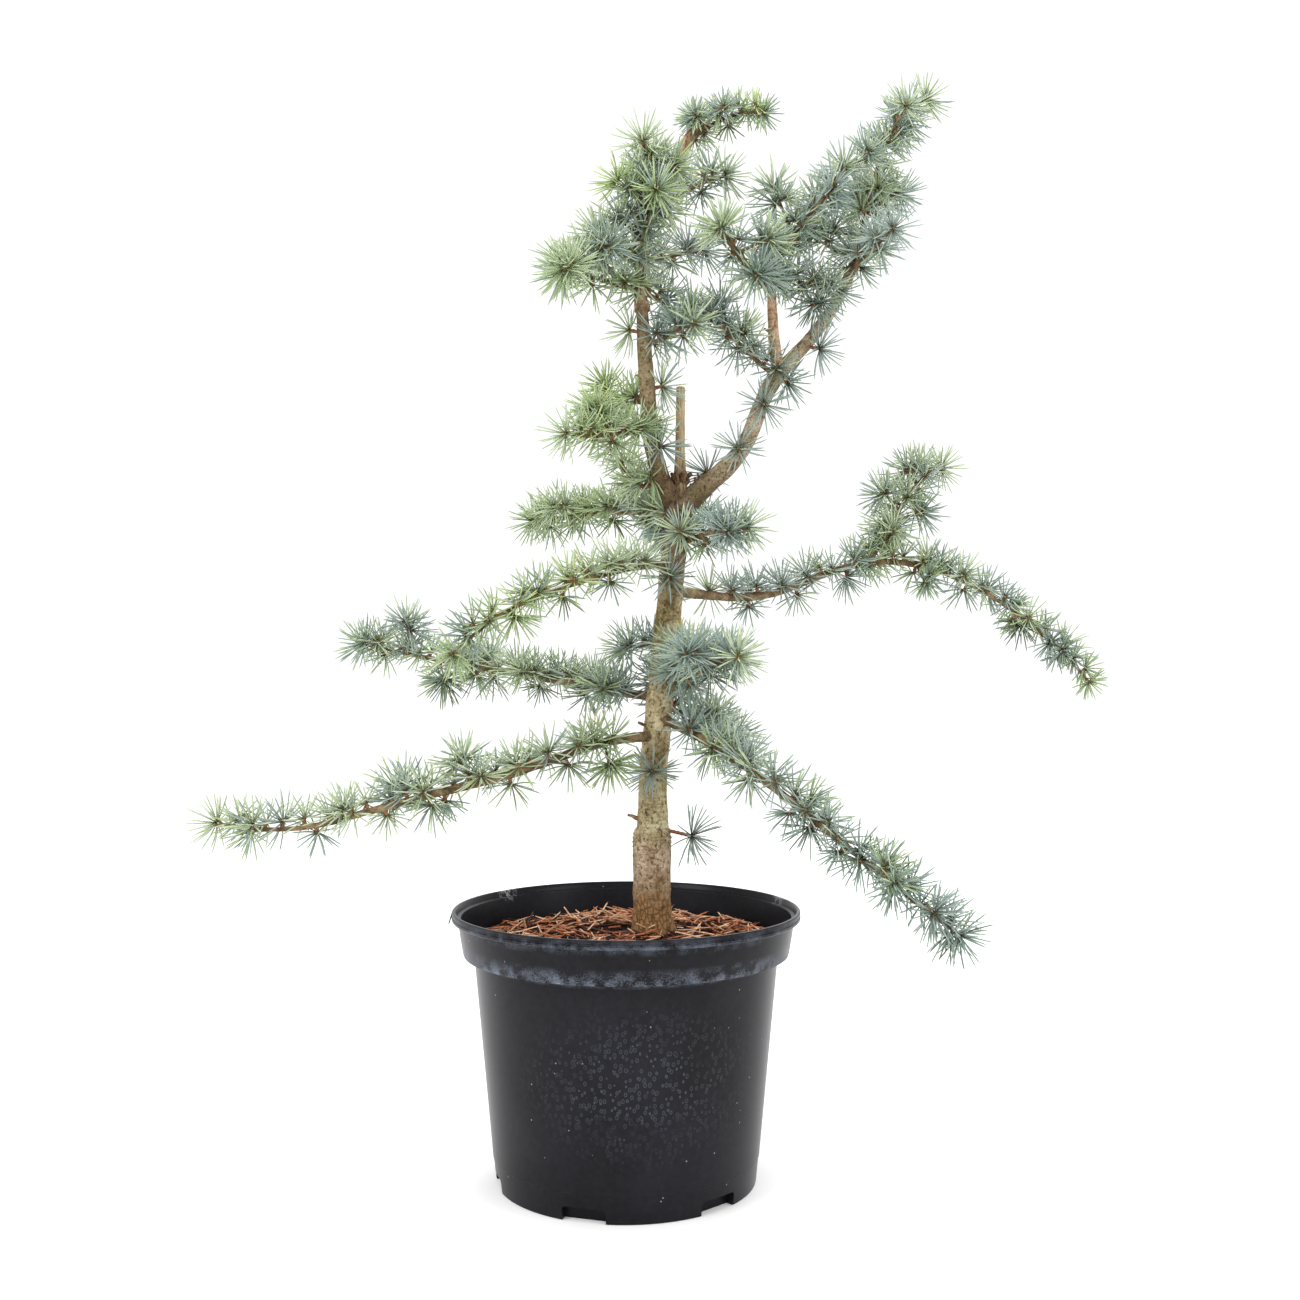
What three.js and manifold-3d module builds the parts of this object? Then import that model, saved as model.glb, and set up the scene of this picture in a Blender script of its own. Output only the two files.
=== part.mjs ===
// A young blue Atlas cedar standing in its black nursery pot, in millimetres, +Z up.
// The origin is the middle of the pot's flat underside, and -Y is the side seen in the photo.
// Angles are in degrees: a bearing is counted from +X towards +Y, a rise is counted up from level.

import * as THREE from 'three';
import { mergeVertices } from 'three/addons/utils/BufferGeometryUtils.js';
import Module from 'manifold-3d';

const wasm = await Module();
wasm.setup();

// Clearances
const GAP = 0.3;
const NEEDLE_GAP = 0.6;
const OWN_GAP = 0.1;
const CORE_SPACING = 9;
const WELD = 1e-4;
const SMALLEST_EDGE = 0.08;

// Pot and soil
const POT_SIDES = 32;
const BASE_RADIUS = 97;
const BODY_RADIUS = 113.4;
const COLLAR_BOTTOM = 168.7;
const COLLAR_RADIUS = 121.6;
const COLLAR_TOP_RADIUS = 125.4;
const LIP_BOTTOM = 194.8;
const LIP_RADIUS = 130;
const POT_HEIGHT = 201.5;
const WALL = 2.2;
const NOTCH_COUNT = 6;
const NOTCH_TURN = 43;
const NOTCH_WIDTH = 32;
const NOTCH_HEIGHT = 10.5;
const NOTCH_CORNER = 3;
const NOTCH_SLANT = 1.5;
const NOTCH_DEPTH = 8;
const COLLAR_ROUND = [1.6, 1.9];
const LIP_ROUND = [0.8, 2];
const LIP_STEP = 0.6;
const SOIL_TOP = 184.7;
const SOIL_EDGE = 177.5;
const SOIL_PLATEAU = 52;
const SOIL_SHOULDER = 82;
const SOIL_BUMP = 1.1;
const LUMPS_ROUND = [7, 13];

// Limbs
const COURSE_STEPS = 60;
const RING_EVERY = 34;
const PIECE_EVERY = 12;
const TRUNK_FOOT = [20, 0, 185];
const FLARE_GIRTHS = [36, 27];
const FLARE_HEIGHT = 14;
const FLARE_SINK = 4;
const GROUND = [200, 200, 40];

// Needles: a rosette is a core with needles drawn out of it.
const CORE_RADIUS = 3.5;
const NEEDLE = 24.5;
const NEEDLE_START = 4.2;
const NEEDLE_ROOT = 1.8;
const NEEDLE_POINT = 0.3;
const DOME = 0.35;
const BACKMOST = -0.25;
const SPUR_EVERY = 32;
const SPUR_RISE = 4.6;
const SPUR_LEAN = 0.5;
const SPUR_JITTER = [0.2, 0.7];
const ROLL_JITTER = 40;
const LOW_SPUR = 5;
const UPWARD = 0.6;
const SHORTEST = 0.82;
const GOLDEN_TURN = 137.5;
const TWIG_GIRTH = 2.4;
const TWIG_TAPER = 0.018;
const TWIG_LIFT = 0.35;
const TWIG_DROOP = 6;
const TWIG_SPREAD = [35, 58];
const TWIG_LENGTH = [26, 46];
const TWIG_JITTER = [0.3, 0.7];
const TWIG_SIDES = 3;
const STEM_SIDES = 4;
const BOUGH_SIDES = 6;

// Each limb leaves another one, `on`, at a distance `at` along it. Its bearings, rises and girths
// are given at even steps from foot to tip.
const LIMBS = [
  { name: 'trunk', length: 320, sides: 12, bearings: [189, 364, 389], rises: [86, 94, 84, 84, 85, 82],
    girths: [30, 28.5, 28.5, 28.5, 22.8, 21.8, 21, 20.8, 20.4, 20, 19.6, 19, 19, 19.4, 21] },
  { name: 'left_leader', on: 'trunk', at: 315, length: 199, sides: 8, bearings: [185, 252, 263],
    rises: [56, 82, 75, 64], girths: [15, 14, 13, 12.6, 12.2, 11.6, 10.6, 8, 6.8, 6] },
  { name: 'right_leader', on: 'trunk', at: 315, length: 134, sides: 8, bearings: [17, 1, 0],
    rises: [45, 40, 72, 57], girths: [17.5, 16, 13.5, 12.5, 12, 12.6] },
  { name: 'dead_stub', on: 'trunk', at: 315, length: 94, sides: 8, bearings: [77, 67],
    rises: [80, 89, 88], girths: [13, 11, 8.2, 7.2, 7, 6.8] },
  { name: 'right_outer_limb', on: 'right_leader', at: 134, length: 101, sides: 7, bearings: [7, 28],
    rises: [43, 52, 67], girths: [11, 10, 9, 7.6] },
  { name: 'right_inner_limb', on: 'right_leader', at: 134, length: 66, sides: 7, bearings: [243, 263],
    rises: [56, 75, 65], girths: [9, 8, 6.5] },
  { name: 'pruned_limb', on: 'left_leader', at: 155, length: 192, sides: 7, bearings: [99, 68, 1],
    rises: [40, 66, 56, 63], girths: [9.5, 9, 9, 9, 8.6] },
];

// Each shoot is one course: a bough for as long as it is bare, and from there a mass of needles on its own
// stem. A mass has side twigs by rule, and sprigs, which are the side twigs that stand out of its outline:
// each sprig is its distance along the shoot, bearing, rise and length.
const SHOOTS = [
  { name: 'low_left', on: 'trunk', at: 145, bare: 46, length: 336, bearings: [227, 208, 188, 177],
    rises: [4, -17, -12, -16, 14], girths: [8.6, 7, 6.4, 5, 1.9], twigs: 1,
    sprigs: [[52, 300, -60, 18], [160, 120, 60, 22]] },
  { name: 'mid_left', on: 'trunk', at: 175, bare: 26, length: 270, bearings: [141, 152, 164, 180],
    rises: [2, 9, 8, 10, 12], girths: [8, 6.6, 5.4, 1.9], twigs: 1,
    sprigs: [[34, 235, 10, 30], [190, 230, -45, 20], [226, 255, 70, 30]] },
  { name: 'left_arch', on: 'trunk', at: 275, bare: 34, length: 213, bearings: [233, 220, 206],
    rises: [-2, -13, -20, -46], girths: [6.4, 5.2, 4.2, 1.9] },
  { name: 'left_short', on: 'trunk', at: 310, length: 168, bearings: [119, 138, 149],
    rises: [12, 6, -4, 0], girths: [6.4, 5, 1.9], sprigs: [[112, 200, 15, 28]] },
  { name: 'right_short', on: 'trunk', at: 290, length: 72, bearings: [303, 300],
    rises: [8, 5, -5], girths: [5.4, 4.2, 1.9] },
  { name: 'high_right', on: 'trunk', at: 255, bare: 40, length: 192, bearings: [50, 27, 12],
    rises: [-4, -2, 22, 12], girths: [8.6, 7.4, 7, 6.4] },
  { name: 'high_right_out', on: 'high_right', at: 192, length: 208, bearings: [5, -19, -28],
    rises: [6, -24, -40, -50], girths: [6, 4.8, 3.6, 1.9], needles: [24.5, 24.5, 22, 16],
    sprigs: [[14, 60, 60, 24], [40, 280, -35, 26]] },
  { name: 'high_right_up', on: 'high_right', at: 192, length: 117, bearings: [31, 32],
    rises: [48, 58, 18], girths: [5, 4, 1.9],
    sprigs: [[44, 10, 20, 26], [60, 190, 30, 20], [84, 100, 60, 18]] },
  { name: 'low_right', on: 'trunk', at: 160, bare: 24, length: 291, bearings: [306, 310, 338, 353],
    rises: [-13, -19, -33, -38, -36], girths: [8, 6.6, 5.4, 1.9], twigs: 1, sprigs: [[34, 10, 30, 26]] },
  { name: 'low_right_side', on: 'trunk', at: 168, length: 76, bearings: [22, 34],
    rises: [-14, -22, -26], girths: [4.6, 3.6, 2.2] },
  { name: 'front_right', on: 'trunk', at: 185, length: 126, bearings: [303, 286, 302],
    rises: [6, 11, 8, 13], girths: [6, 4.6, 1.9], twigs: 1 },
  { name: 'front_right_up', on: 'trunk', at: 210, length: 82, bearings: [294, 302],
    rises: [-12, 4, -4], girths: [4.8, 3.8, 2.2] },
  { name: 'small_left', on: 'trunk', at: 213, length: 43, bearings: [150, 130],
    rises: [8, -6, -6], girths: [3.6, 2.8, 2] },
  { name: 'left_cluster', on: 'left_leader', at: 65, length: 80, bearings: [225, 214],
    rises: [-11, -10, 2], girths: [5.2, 4, 1.9], sprigs: [[36, 200, 50, 26]] },
  { name: 'left_cluster_up', on: 'left_leader', at: 85, length: 70, bearings: [121, 133],
    rises: [14, -1, -8], girths: [4.4, 3.4, 1.9], sprigs: [[34, 150, 45, 24]] },
  { name: 'left_cluster_low', on: 'left_leader', at: 30, length: 73, bearings: [129, 130],
    rises: [-42, 40, 51], girths: [4.2, 3.4, 2.2] },
  { name: 'leader_twig_low', on: 'left_leader', at: 125, length: 50, bearings: [311, 324],
    rises: [17, 12, 13], girths: [3.4, 2.8, 2] },
  { name: 'leader_twig_high', on: 'left_leader', at: 165, length: 54, bearings: [63, 43],
    rises: [12, -16, -20], girths: [3.6, 3, 2] },
  { name: 'dark_spray', on: 'pruned_limb', at: 55, length: 75, bearings: [58, 34],
    rises: [17, 17, 15], girths: [4, 3.2, 2] },
  { name: 'crest_left', on: 'left_leader', at: 185, length: 77, bearings: [223, 214],
    rises: [28, -25, -36], girths: [4.6, 3.6, 1.9], sprigs: [[20, 170, 45, 24]] },
  { name: 'crest_low', on: 'left_leader', at: 168, length: 62, bearings: [204, 196],
    rises: [0, 14, -4], girths: [4.4, 3.4, 1.9] },
  { name: 'crown_dome', on: 'left_leader', at: 199, length: 65, bearings: [260, 345],
    rises: [60, 82, 66], girths: [5.6, 4.4, 1.9],
    sprigs: [[14, 350, 35, 24], [26, 300, 20, 26], [46, 0, 25, 26]] },
  { name: 'crown_right_twig', on: 'pruned_limb', at: 110, length: 65, bearings: [330, 334],
    rises: [16, 14, 6], girths: [6, 5, 2.2] },
  { name: 'crown_tip', on: 'pruned_limb', at: 176, length: 68, bearings: [324, 344],
    rises: [25, 16, -14], girths: [4.4, 3.4, 1.9], needles: [19, 17],
    sprigs: [[18, 185, 40, 12], [34, 250, 10, 12]] },
  { name: 'crown_back', on: 'pruned_limb', at: 125, length: 77, bearings: [114, 75],
    rises: [38, 31, 28], girths: [5, 4, 1.9], twigs: 1 },
  { name: 'fork_left_twig', on: 'right_leader', at: 130, length: 90, bearings: [215, 212],
    rises: [22, 36, 26, 20], girths: [4.4, 3.4, 1.9],
    sprigs: [[24, 200, 65, 24], [48, 190, 72, 28]] },
  { name: 'inner_shoot', on: 'right_inner_limb', at: 66, length: 132, bearings: [334, 387, 385],
    rises: [87, 44, 52, 34], girths: [5.6, 4.8, 3.8, 1.9], sprigs: [[40, 160, 72, 40]] },
  { name: 'cut_limb', on: 'right_inner_limb', at: 60, length: 73, bearings: [241, 218],
    rises: [6, 31, 40], girths: [5.4, 5, 4.6],
    sprigs: [[24, 265, -8, 26], [50, 10, 30, 26], [58, 200, 55, 16]] },
  { name: 'outer_inner', on: 'right_outer_limb', at: 76, length: 54, bearings: [222, 204],
    rises: [16, 8, 4], girths: [4.4, 3.4, 1.9], sprigs: [[22, 250, -45, 22]] },
  { name: 'outer_shoot', on: 'right_outer_limb', at: 101, length: 165, bearings: [52, 43, -20],
    rises: [62, 69, 72, 26], girths: [6.4, 5.2, 4, 1.9], twigs: 1,
    sprigs: [[8, 195, 30, 48], [34, 180, 5, 42]] },
  { name: 'outer_side', on: 'right_outer_limb', at: 98, length: 66, bearings: [294, 291],
    rises: [27, 12, 16], girths: [4.6, 3.6, 2.2] },
  { name: 'outer_back', on: 'outer_shoot', at: 55, length: 68, bearings: [48, 62],
    rises: [32, 28, 14], girths: [4, 3.2, 2.2] },
  { name: 'back_low', on: 'trunk', at: 180, length: 145, bearings: [85, 77, 75],
    rises: [15, 10, 7, 3], girths: [6.4, 5, 1.9], twigs: 2 },
  { name: 'back_mid', on: 'trunk', at: 295, length: 116, bearings: [100, 82],
    rises: [7, 13, 6], girths: [5.6, 4.4, 1.9], twigs: 1 },
];

// A spur tuft is one rosette on a short spur that leaves the trunk or a leader.
const TUFTS = [
  { name: 'trunk_front', on: 'trunk', at: 117, bearing: 268, rise: 12, spur: 5 },
  { name: 'trunk_right', on: 'trunk', at: 77, bearing: 340, rise: -10, spur: 19, needle: 27 },
  { name: 'trunk_back', on: 'trunk', at: 112, bearing: 95, rise: 15, spur: 5 },
  { name: 'trunk_high_front', on: 'trunk', at: 262, bearing: 262, rise: 12, spur: 5 },
  { name: 'leader_front', on: 'left_leader', at: 48, bearing: 300, rise: 20, spur: 5 },
  { name: 'leader_right', on: 'left_leader', at: 95, bearing: 350, rise: 10, spur: 6 },
  { name: 'leader_left', on: 'left_leader', at: 136, bearing: 190, rise: 10, spur: 6 },
  { name: 'fork_front', on: 'right_leader', at: 62, bearing: 275, rise: 25, spur: 5 },
  { name: 'fork_back', on: 'right_leader', at: 36, bearing: 110, rise: 30, spur: 5 },
  { name: 'fork_high', on: 'right_leader', at: 104, bearing: 280, rise: 0, spur: 5 },
  { name: 'fork_right', on: 'right_leader', at: 126, bearing: 5, rise: -5, spur: 5 },
  { name: 'outer_low', on: 'right_outer_limb', at: 28, bearing: 330, rise: -14, spur: 9 },
];

// Colour and roughness of each material
const FINISHES = {
  pot: [0x2c2d31, 0.55],
  soil: [0x8a4f33, 0.95],
  bark: [0x7d6d55, 0.9],
  young_bark: [0x83705a, 0.9],
  dead_wood: [0xa8936e, 0.9],
  needles: [0x86a498, 0.8],
};

const UP = new THREE.Vector3(0, 0, 1);

// Seeded random numbers between 0 and 1.
function dice(seed) {
  let state = seed >>> 0;
  return () => {
    state = (state + 0x6d2b79f5) >>> 0;
    let value = Math.imul(state ^ (state >>> 15), state | 1);
    value ^= value + Math.imul(value ^ (value >>> 7), value | 61);
    return ((value ^ (value >>> 14)) >>> 0) / 4294967296;
  };
}

function seedOf(name) {
  let seed = 7;
  for (const letter of name) {
    seed = (Math.imul(seed, 31) + letter.charCodeAt(0)) >>> 0;
  }
  return seed;
}

// The value of an evenly stepped list at a fraction along it.
function mix(list, fraction) {
  const place = THREE.MathUtils.clamp(fraction, 0, 1) * (list.length - 1);
  const step = Math.min(Math.floor(place), list.length - 2);
  return THREE.MathUtils.lerp(list[step], list[step + 1], place - step);
}

function heading(bearing, rise) {
  const turn = THREE.MathUtils.degToRad(bearing);
  const lift = THREE.MathUtils.degToRad(rise);
  const level = Math.cos(lift);
  return new THREE.Vector3(Math.cos(turn) * level, Math.sin(turn) * level, Math.sin(lift));
}

// A course is the middle line of a limb, stepped out from its foot.
function course(foot, length, bearings, rises) {
  const points = [foot];
  const stride = length / COURSE_STEPS;
  for (let i = 0; i < COURSE_STEPS; i += 1) {
    const along = (i + 0.5) / COURSE_STEPS;
    const way = heading(mix(bearings, along), mix(rises, along));
    points.push(points[i].clone().addScaledVector(way, stride));
  }
  return { points, length };
}

function spotOn(path, station) {
  const place = (station / path.length) * COURSE_STEPS;
  const step = THREE.MathUtils.clamp(Math.floor(place), 0, COURSE_STEPS - 1);
  const from = path.points[step];
  const to = path.points[step + 1];
  return { point: from.clone().lerp(to, place - step), way: to.clone().sub(from).normalize() };
}

// Level and upright directions square to a limb's way.
function sidesOf(way) {
  const level = new THREE.Vector3().crossVectors(way, UP);
  if (level.length() < 0.05) {
    level.set(1, 0, 0).addScaledVector(way, -way.x);
  }
  level.normalize();
  const upright = new THREE.Vector3().crossVectors(level, way);
  return { level, upright };
}

// Solids
function solidFrom(geometry) {
  const bare = new THREE.BufferGeometry();
  bare.setAttribute('position', geometry.getAttribute('position'));
  bare.setIndex(geometry.index);
  const welded = mergeVertices(bare, WELD);
  const index = welded.index.array;
  const corners = [];
  for (let i = 0; i < index.length; i += 3) {
    const [a, b, c] = [index[i], index[i + 1], index[i + 2]];
    if (a !== b && b !== c && c !== a) {
      corners.push(a, b, c);
    }
  }
  const vertProperties = new Float32Array(welded.getAttribute('position').array);
  const mesh = new wasm.Mesh({ numProp: 3, vertProperties, triVerts: new Uint32Array(corners) });
  return new wasm.Manifold(mesh);
}

function turned(profile, sides) {
  const points = profile.map(([radius, height]) => new THREE.Vector2(radius, height));
  return new THREE.LatheGeometry(points, sides).rotateX(Math.PI / 2);
}

function joined(solids) {
  return solids.reduce((whole, next) => whole.add(next));
}

function largestBody(solid) {
  const bodies = solid.decompose();
  return bodies.reduce((best, body) => (body.volume() > best.volume() ? body : best));
}

function boxesMeet(one, other) {
  const [a, b] = [one.boundingBox(), other.boundingBox()];
  return [0, 1, 2].every((k) => a.min[k] <= b.max[k] && b.min[k] <= a.max[k]);
}

// Directions across a limb, carried along its course ring by ring without twisting.
function ringFrames(path, from, to, rings, girthAt, grow) {
  const frames = [];
  let across = sidesOf(spotOn(path, from).way).level;
  for (let ring = 0; ring <= rings; ring += 1) {
    const station = THREE.MathUtils.lerp(from - grow, to + grow, ring / rings);
    const { point, way } = spotOn(path, station);
    across = across.clone().addScaledVector(way, -way.dot(across)).normalize();
    const front = new THREE.Vector3().crossVectors(across, way);
    frames.push({ point, across, front, radius: girthAt(station) / 2 + grow });
  }
  return frames;
}

// A tapering limb between two stations of its course, grown all round by `grow`.
function limbSolid(path, from, to, girthAt, sides, grow) {
  const rings = Math.max(1, Math.round((to - from) / RING_EVERY));
  const geometry = new THREE.CylinderGeometry(1, 1, 1, sides, rings);
  const frames = ringFrames(path, from, to, rings, girthAt, grow);
  const position = geometry.getAttribute('position');
  for (let i = 0; i < position.count; i += 1) {
    const { point, across, front, radius } = frames[Math.round((position.getY(i) + 0.5) * rings)];
    const place = point.clone();
    place.addScaledVector(across, position.getX(i) * radius);
    place.addScaledVector(front, position.getZ(i) * radius);
    position.setXYZ(i, place.x, place.y, place.z);
  }
  return solidFrom(geometry);
}

// Pieces are straight stretches of limbs, twigs and needles, kept to test the clearance of new ones.
const pieces = [];

function pieceOf(owner, start, end, startRadius, endRadius) {
  const middle = start.clone().lerp(end, 0.5);
  const reach = start.distanceTo(end) / 2 + Math.max(startRadius, endRadius);
  return { owner, start, end, startRadius, endRadius, middle, reach };
}

function piecesAlong(owner, path, from, to, girthAt) {
  const count = Math.max(1, Math.round((to - from) / PIECE_EVERY));
  return Array.from({ length: count }, (_, i) => {
    const [a, b] = [i, i + 1].map((step) => THREE.MathUtils.lerp(from, to, step / count));
    return pieceOf(owner, spotOn(path, a).point, spotOn(path, b).point, girthAt(a) / 2, girthAt(b) / 2);
  });
}

// The gap between the surfaces of two straight pieces.
function gapBetween(one, other) {
  const apart = one.middle.distanceTo(other.middle) - one.reach - other.reach;
  if (apart > NEEDLE_GAP) {
    return apart;
  }
  const along = one.end.clone().sub(one.start);
  const beside = other.end.clone().sub(other.start);
  const between = one.start.clone().sub(other.start);
  const [a, b, c] = [along.dot(along), along.dot(beside), along.dot(between)];
  const [e, f] = [beside.dot(beside), beside.dot(between)];
  const spread = a * e - b * b;
  const clamp = THREE.MathUtils.clamp;
  let s = spread > 1e-9 ? clamp((b * f - c * e) / spread, 0, 1) : 0;
  const t = clamp((b * s + f) / e, 0, 1);
  s = clamp((b * t - c) / a, 0, 1);
  const span = one.start.clone().lerp(one.end, s).distanceTo(other.start.clone().lerp(other.end, t));
  const oneRadius = THREE.MathUtils.lerp(one.startRadius, one.endRadius, s);
  const otherRadius = THREE.MathUtils.lerp(other.startRadius, other.endRadius, t);
  return span - oneRadius - otherRadius;
}

// Whether a piece keeps its distance from all others, those of its own mass by `ownGap`.
function isClear(piece, ownGap) {
  const needed = (other) => (other.owner === piece.owner ? ownGap : NEEDLE_GAP);
  return pieces.every((other) => gapBetween(piece, other) > needed(other));
}

// Wood is every limb and stem, each cut clear of the ones before it.
const wood = [];

function clearOfWood(whole, others) {
  const near = others.filter((other) => boxesMeet(whole, other.grown));
  return largestBody(near.reduce((rest, other) => rest.subtract(other.grown), whole));
}

function addWood(owner, path, from, to, girths, sides) {
  const girthAt = (station) => mix(girths, station / path.length);
  const grown = limbSolid(path, from, to, girthAt, sides, GAP);
  const solid = clearOfWood(limbSolid(path, from, to, girthAt, sides, 0), wood);
  pieces.push(...piecesAlong(owner, path, from, to, girthAt));
  const made = { owner, path, from, girthAt, solid, grown };
  wood.push(made);
  return made;
}

// A rosette of needles about `axis`. The core's first face looks back to `foot`, inside the limb that
// carries it, and is drawn out to it as the spur, unless the limb's own tip ends in the core.
// A needle that would come near another piece is left out.
function rosette(owner, { centre, axis, foot, spurred, reach }, random) {
  const core = new THREE.IcosahedronGeometry(CORE_RADIUS, 0).getAttribute('position');
  const facets = Array.from({ length: core.count / 3 }, (_, face) =>
    [0, 1, 2].map((k) => new THREE.Vector3().fromBufferAttribute(core, 3 * face + k)));
  const back = foot.clone().sub(centre);
  const turn = new THREE.Quaternion().setFromUnitVectors(middleWay(facets[0]), back.clone().normalize());
  const spin = new THREE.Quaternion().setFromAxisAngle(middleWay(facets[0]), random() * Math.PI * 2);
  turn.multiply(spin);
  const made = [pieceOf(owner, centre, foot, NEEDLE_ROOT, NEEDLE_ROOT / 2)];
  const corners = [];
  facets.forEach((facet, face) => {
    for (const corner of facet) {
      corner.applyQuaternion(turn).addScaledVector(axis, CORE_RADIUS * DOME).setLength(CORE_RADIUS);
    }
    const way = middleWay(facet);
    const length = reach * THREE.MathUtils.lerp(SHORTEST, 1, random());
    const root = way.clone().multiplyScalar(NEEDLE_START).add(centre);
    const tip = way.clone().multiplyScalar(length).add(centre);
    const needle = pieceOf(owner, root, tip, NEEDLE_ROOT, NEEDLE_POINT);
    if (face === 0) {
      corners.push(...(spurred ? drawnOut(facet, back) : facet));
    } else if (way.dot(axis) > BACKMOST && isClear(needle, OWN_GAP)) {
      corners.push(...drawnOut(facet, way.multiplyScalar(length)));
      made.push(needle);
    } else {
      corners.push(...facet);
    }
  });
  pieces.push(...made);
  const places = corners.flatMap((corner) => corner.clone().add(centre).toArray());
  const geometry = new THREE.BufferGeometry();
  geometry.setAttribute('position', new THREE.Float32BufferAttribute(places, 3));
  return solidFrom(geometry);
}

function middleWay([a, b, c]) {
  return a.clone().add(b).add(c).normalize();
}

function drawnOut([a, b, c], tip) {
  return [a, b, tip, b, c, tip, c, a, tip];
}

// Spurs go round the stem by the golden turn, more of them on its upper side than below. `needles` holds
// how far needles reach, from the stem's foot to its tip.
function spurPlaces(path, from, girthAt, needles, random) {
  const count = Math.max(1, Math.round((path.length - from) / SPUR_EVERY));
  const places = [];
  for (let i = 0; i < count; i += 1) {
    const jitter = THREE.MathUtils.lerp(...SPUR_JITTER, random());
    const station = from + ((i + jitter) / count) * (path.length - from);
    const { point, way } = spotOn(path, station);
    const { level, upright } = sidesOf(way);
    const around = ((i * GOLDEN_TURN + ROLL_JITTER * random()) % 360) - 180;
    const drop = i % LOW_SPUR === LOW_SPUR - 1 ? 180 : 0;
    const roll = THREE.MathUtils.degToRad(around * (1 - UPWARD * Math.hypot(way.x, way.y)) + drop);
    const out = upright.multiplyScalar(Math.cos(roll)).addScaledVector(level, Math.sin(roll));
    const centre = point.clone().addScaledVector(out, girthAt(station) / 2 + SPUR_RISE);
    const axis = out.addScaledVector(way, SPUR_LEAN).normalize();
    places.push({ centre, foot: point, axis, spurred: true, reach: mix(needles, station / path.length) });
  }
  const { point, way } = spotOn(path, path.length);
  const foot = point.clone().addScaledVector(way, -CORE_RADIUS);
  places.push({ centre: point, foot, axis: way, spurred: false, reach: mix(needles, 1) });
  return places;
}

// Side twigs leave a stem left and right in turn.
function twigCourses(path, from, count, sprigs, random) {
  const courses = sprigs.map(([at, bearing, rise, length]) =>
    course(spotOn(path, at).point, length, [bearing, bearing], [rise, rise - TWIG_DROOP]));
  for (let i = 0; i < count; i += 1) {
    const jitter = THREE.MathUtils.lerp(...TWIG_JITTER, random());
    const station = from + ((i + jitter) / count) * (path.length - from);
    const { point, way } = spotOn(path, station);
    const { level, upright } = sidesOf(way);
    const side = i % 2 === 0 ? 1 : -1;
    const out = level.multiplyScalar(side).addScaledVector(upright, TWIG_LIFT).normalize();
    const spread = THREE.MathUtils.degToRad(THREE.MathUtils.lerp(...TWIG_SPREAD, random()));
    const leave = way.multiplyScalar(Math.cos(spread)).addScaledVector(out, Math.sin(spread));
    const bearing = THREE.MathUtils.radToDeg(Math.atan2(leave.y, leave.x));
    const rise = THREE.MathUtils.radToDeg(Math.asin(leave.z));
    const length = THREE.MathUtils.lerp(...TWIG_LENGTH, random());
    courses.push(course(point, length, [bearing, bearing], [rise, rise - TWIG_DROOP]));
  }
  return courses;
}

// A core that would touch another mass, or crowd one of its own, is left out with its needles.
function rosettesOn(owner, path, from, girthAt, needles, centres, random) {
  const solids = [];
  for (const place of spurPlaces(path, from, girthAt, needles, random)) {
    const { centre, foot } = place;
    const core = pieceOf(owner, centre, centre.clone().lerp(foot, 0.05), CORE_RADIUS, CORE_RADIUS);
    const crowded = centres.some((other) => other.distanceTo(centre) < CORE_SPACING);
    if (!crowded && isClear(core, -Infinity)) {
      centres.push(centre);
      solids.push(rosette(owner, place, random));
      pieces.push(core);
    }
  }
  return solids;
}

// A mass of needles on one stem, kept clear of every limb and of the masses before it.
function massSolid(stem, twigCount, sprigs, needles) {
  const solids = [stem.solid];
  const centres = [];
  const twigGirth = (station) => TWIG_GIRTH - TWIG_TAPER * station;
  const courses = twigCourses(stem.path, stem.from, twigCount, sprigs, dice(seedOf(stem.owner)));
  courses.forEach((path, index) => {
    const stretch = piecesAlong(stem.owner, path, 0, path.length, twigGirth);
    if (stretch.every((piece) => isClear(piece, -Infinity))) {
      const random = dice(seedOf(`${stem.owner} ${index}`));
      pieces.push(...stretch);
      solids.push(limbSolid(path, 0, path.length, twigGirth, TWIG_SIDES, 0));
      solids.push(...rosettesOn(stem.owner, path, SPUR_EVERY / 2, twigGirth, needles, centres, random));
    }
  });
  const random = dice(seedOf(`${stem.owner} ${courses.length}`));
  solids.push(...rosettesOn(stem.owner, stem.path, stem.from, stem.girthAt, needles, centres, random));
  const whole = joined(solids);
  return clearOfWood(whole, wood.slice(0, wood.indexOf(stem)));
}

// A single rosette on a short spur that leaves a limb.
function tuftSolid(owner, limb, at, way, spur, reach) {
  const foot = spotOn(limb.path, at).point;
  const centre = foot.clone().addScaledVector(way, limb.girthAt(at) / 2 + spur);
  const place = { centre, axis: way, foot, spurred: true, reach };
  const whole = rosette(owner, place, dice(seedOf(owner)));
  return clearOfWood(whole, wood);
}

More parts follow.
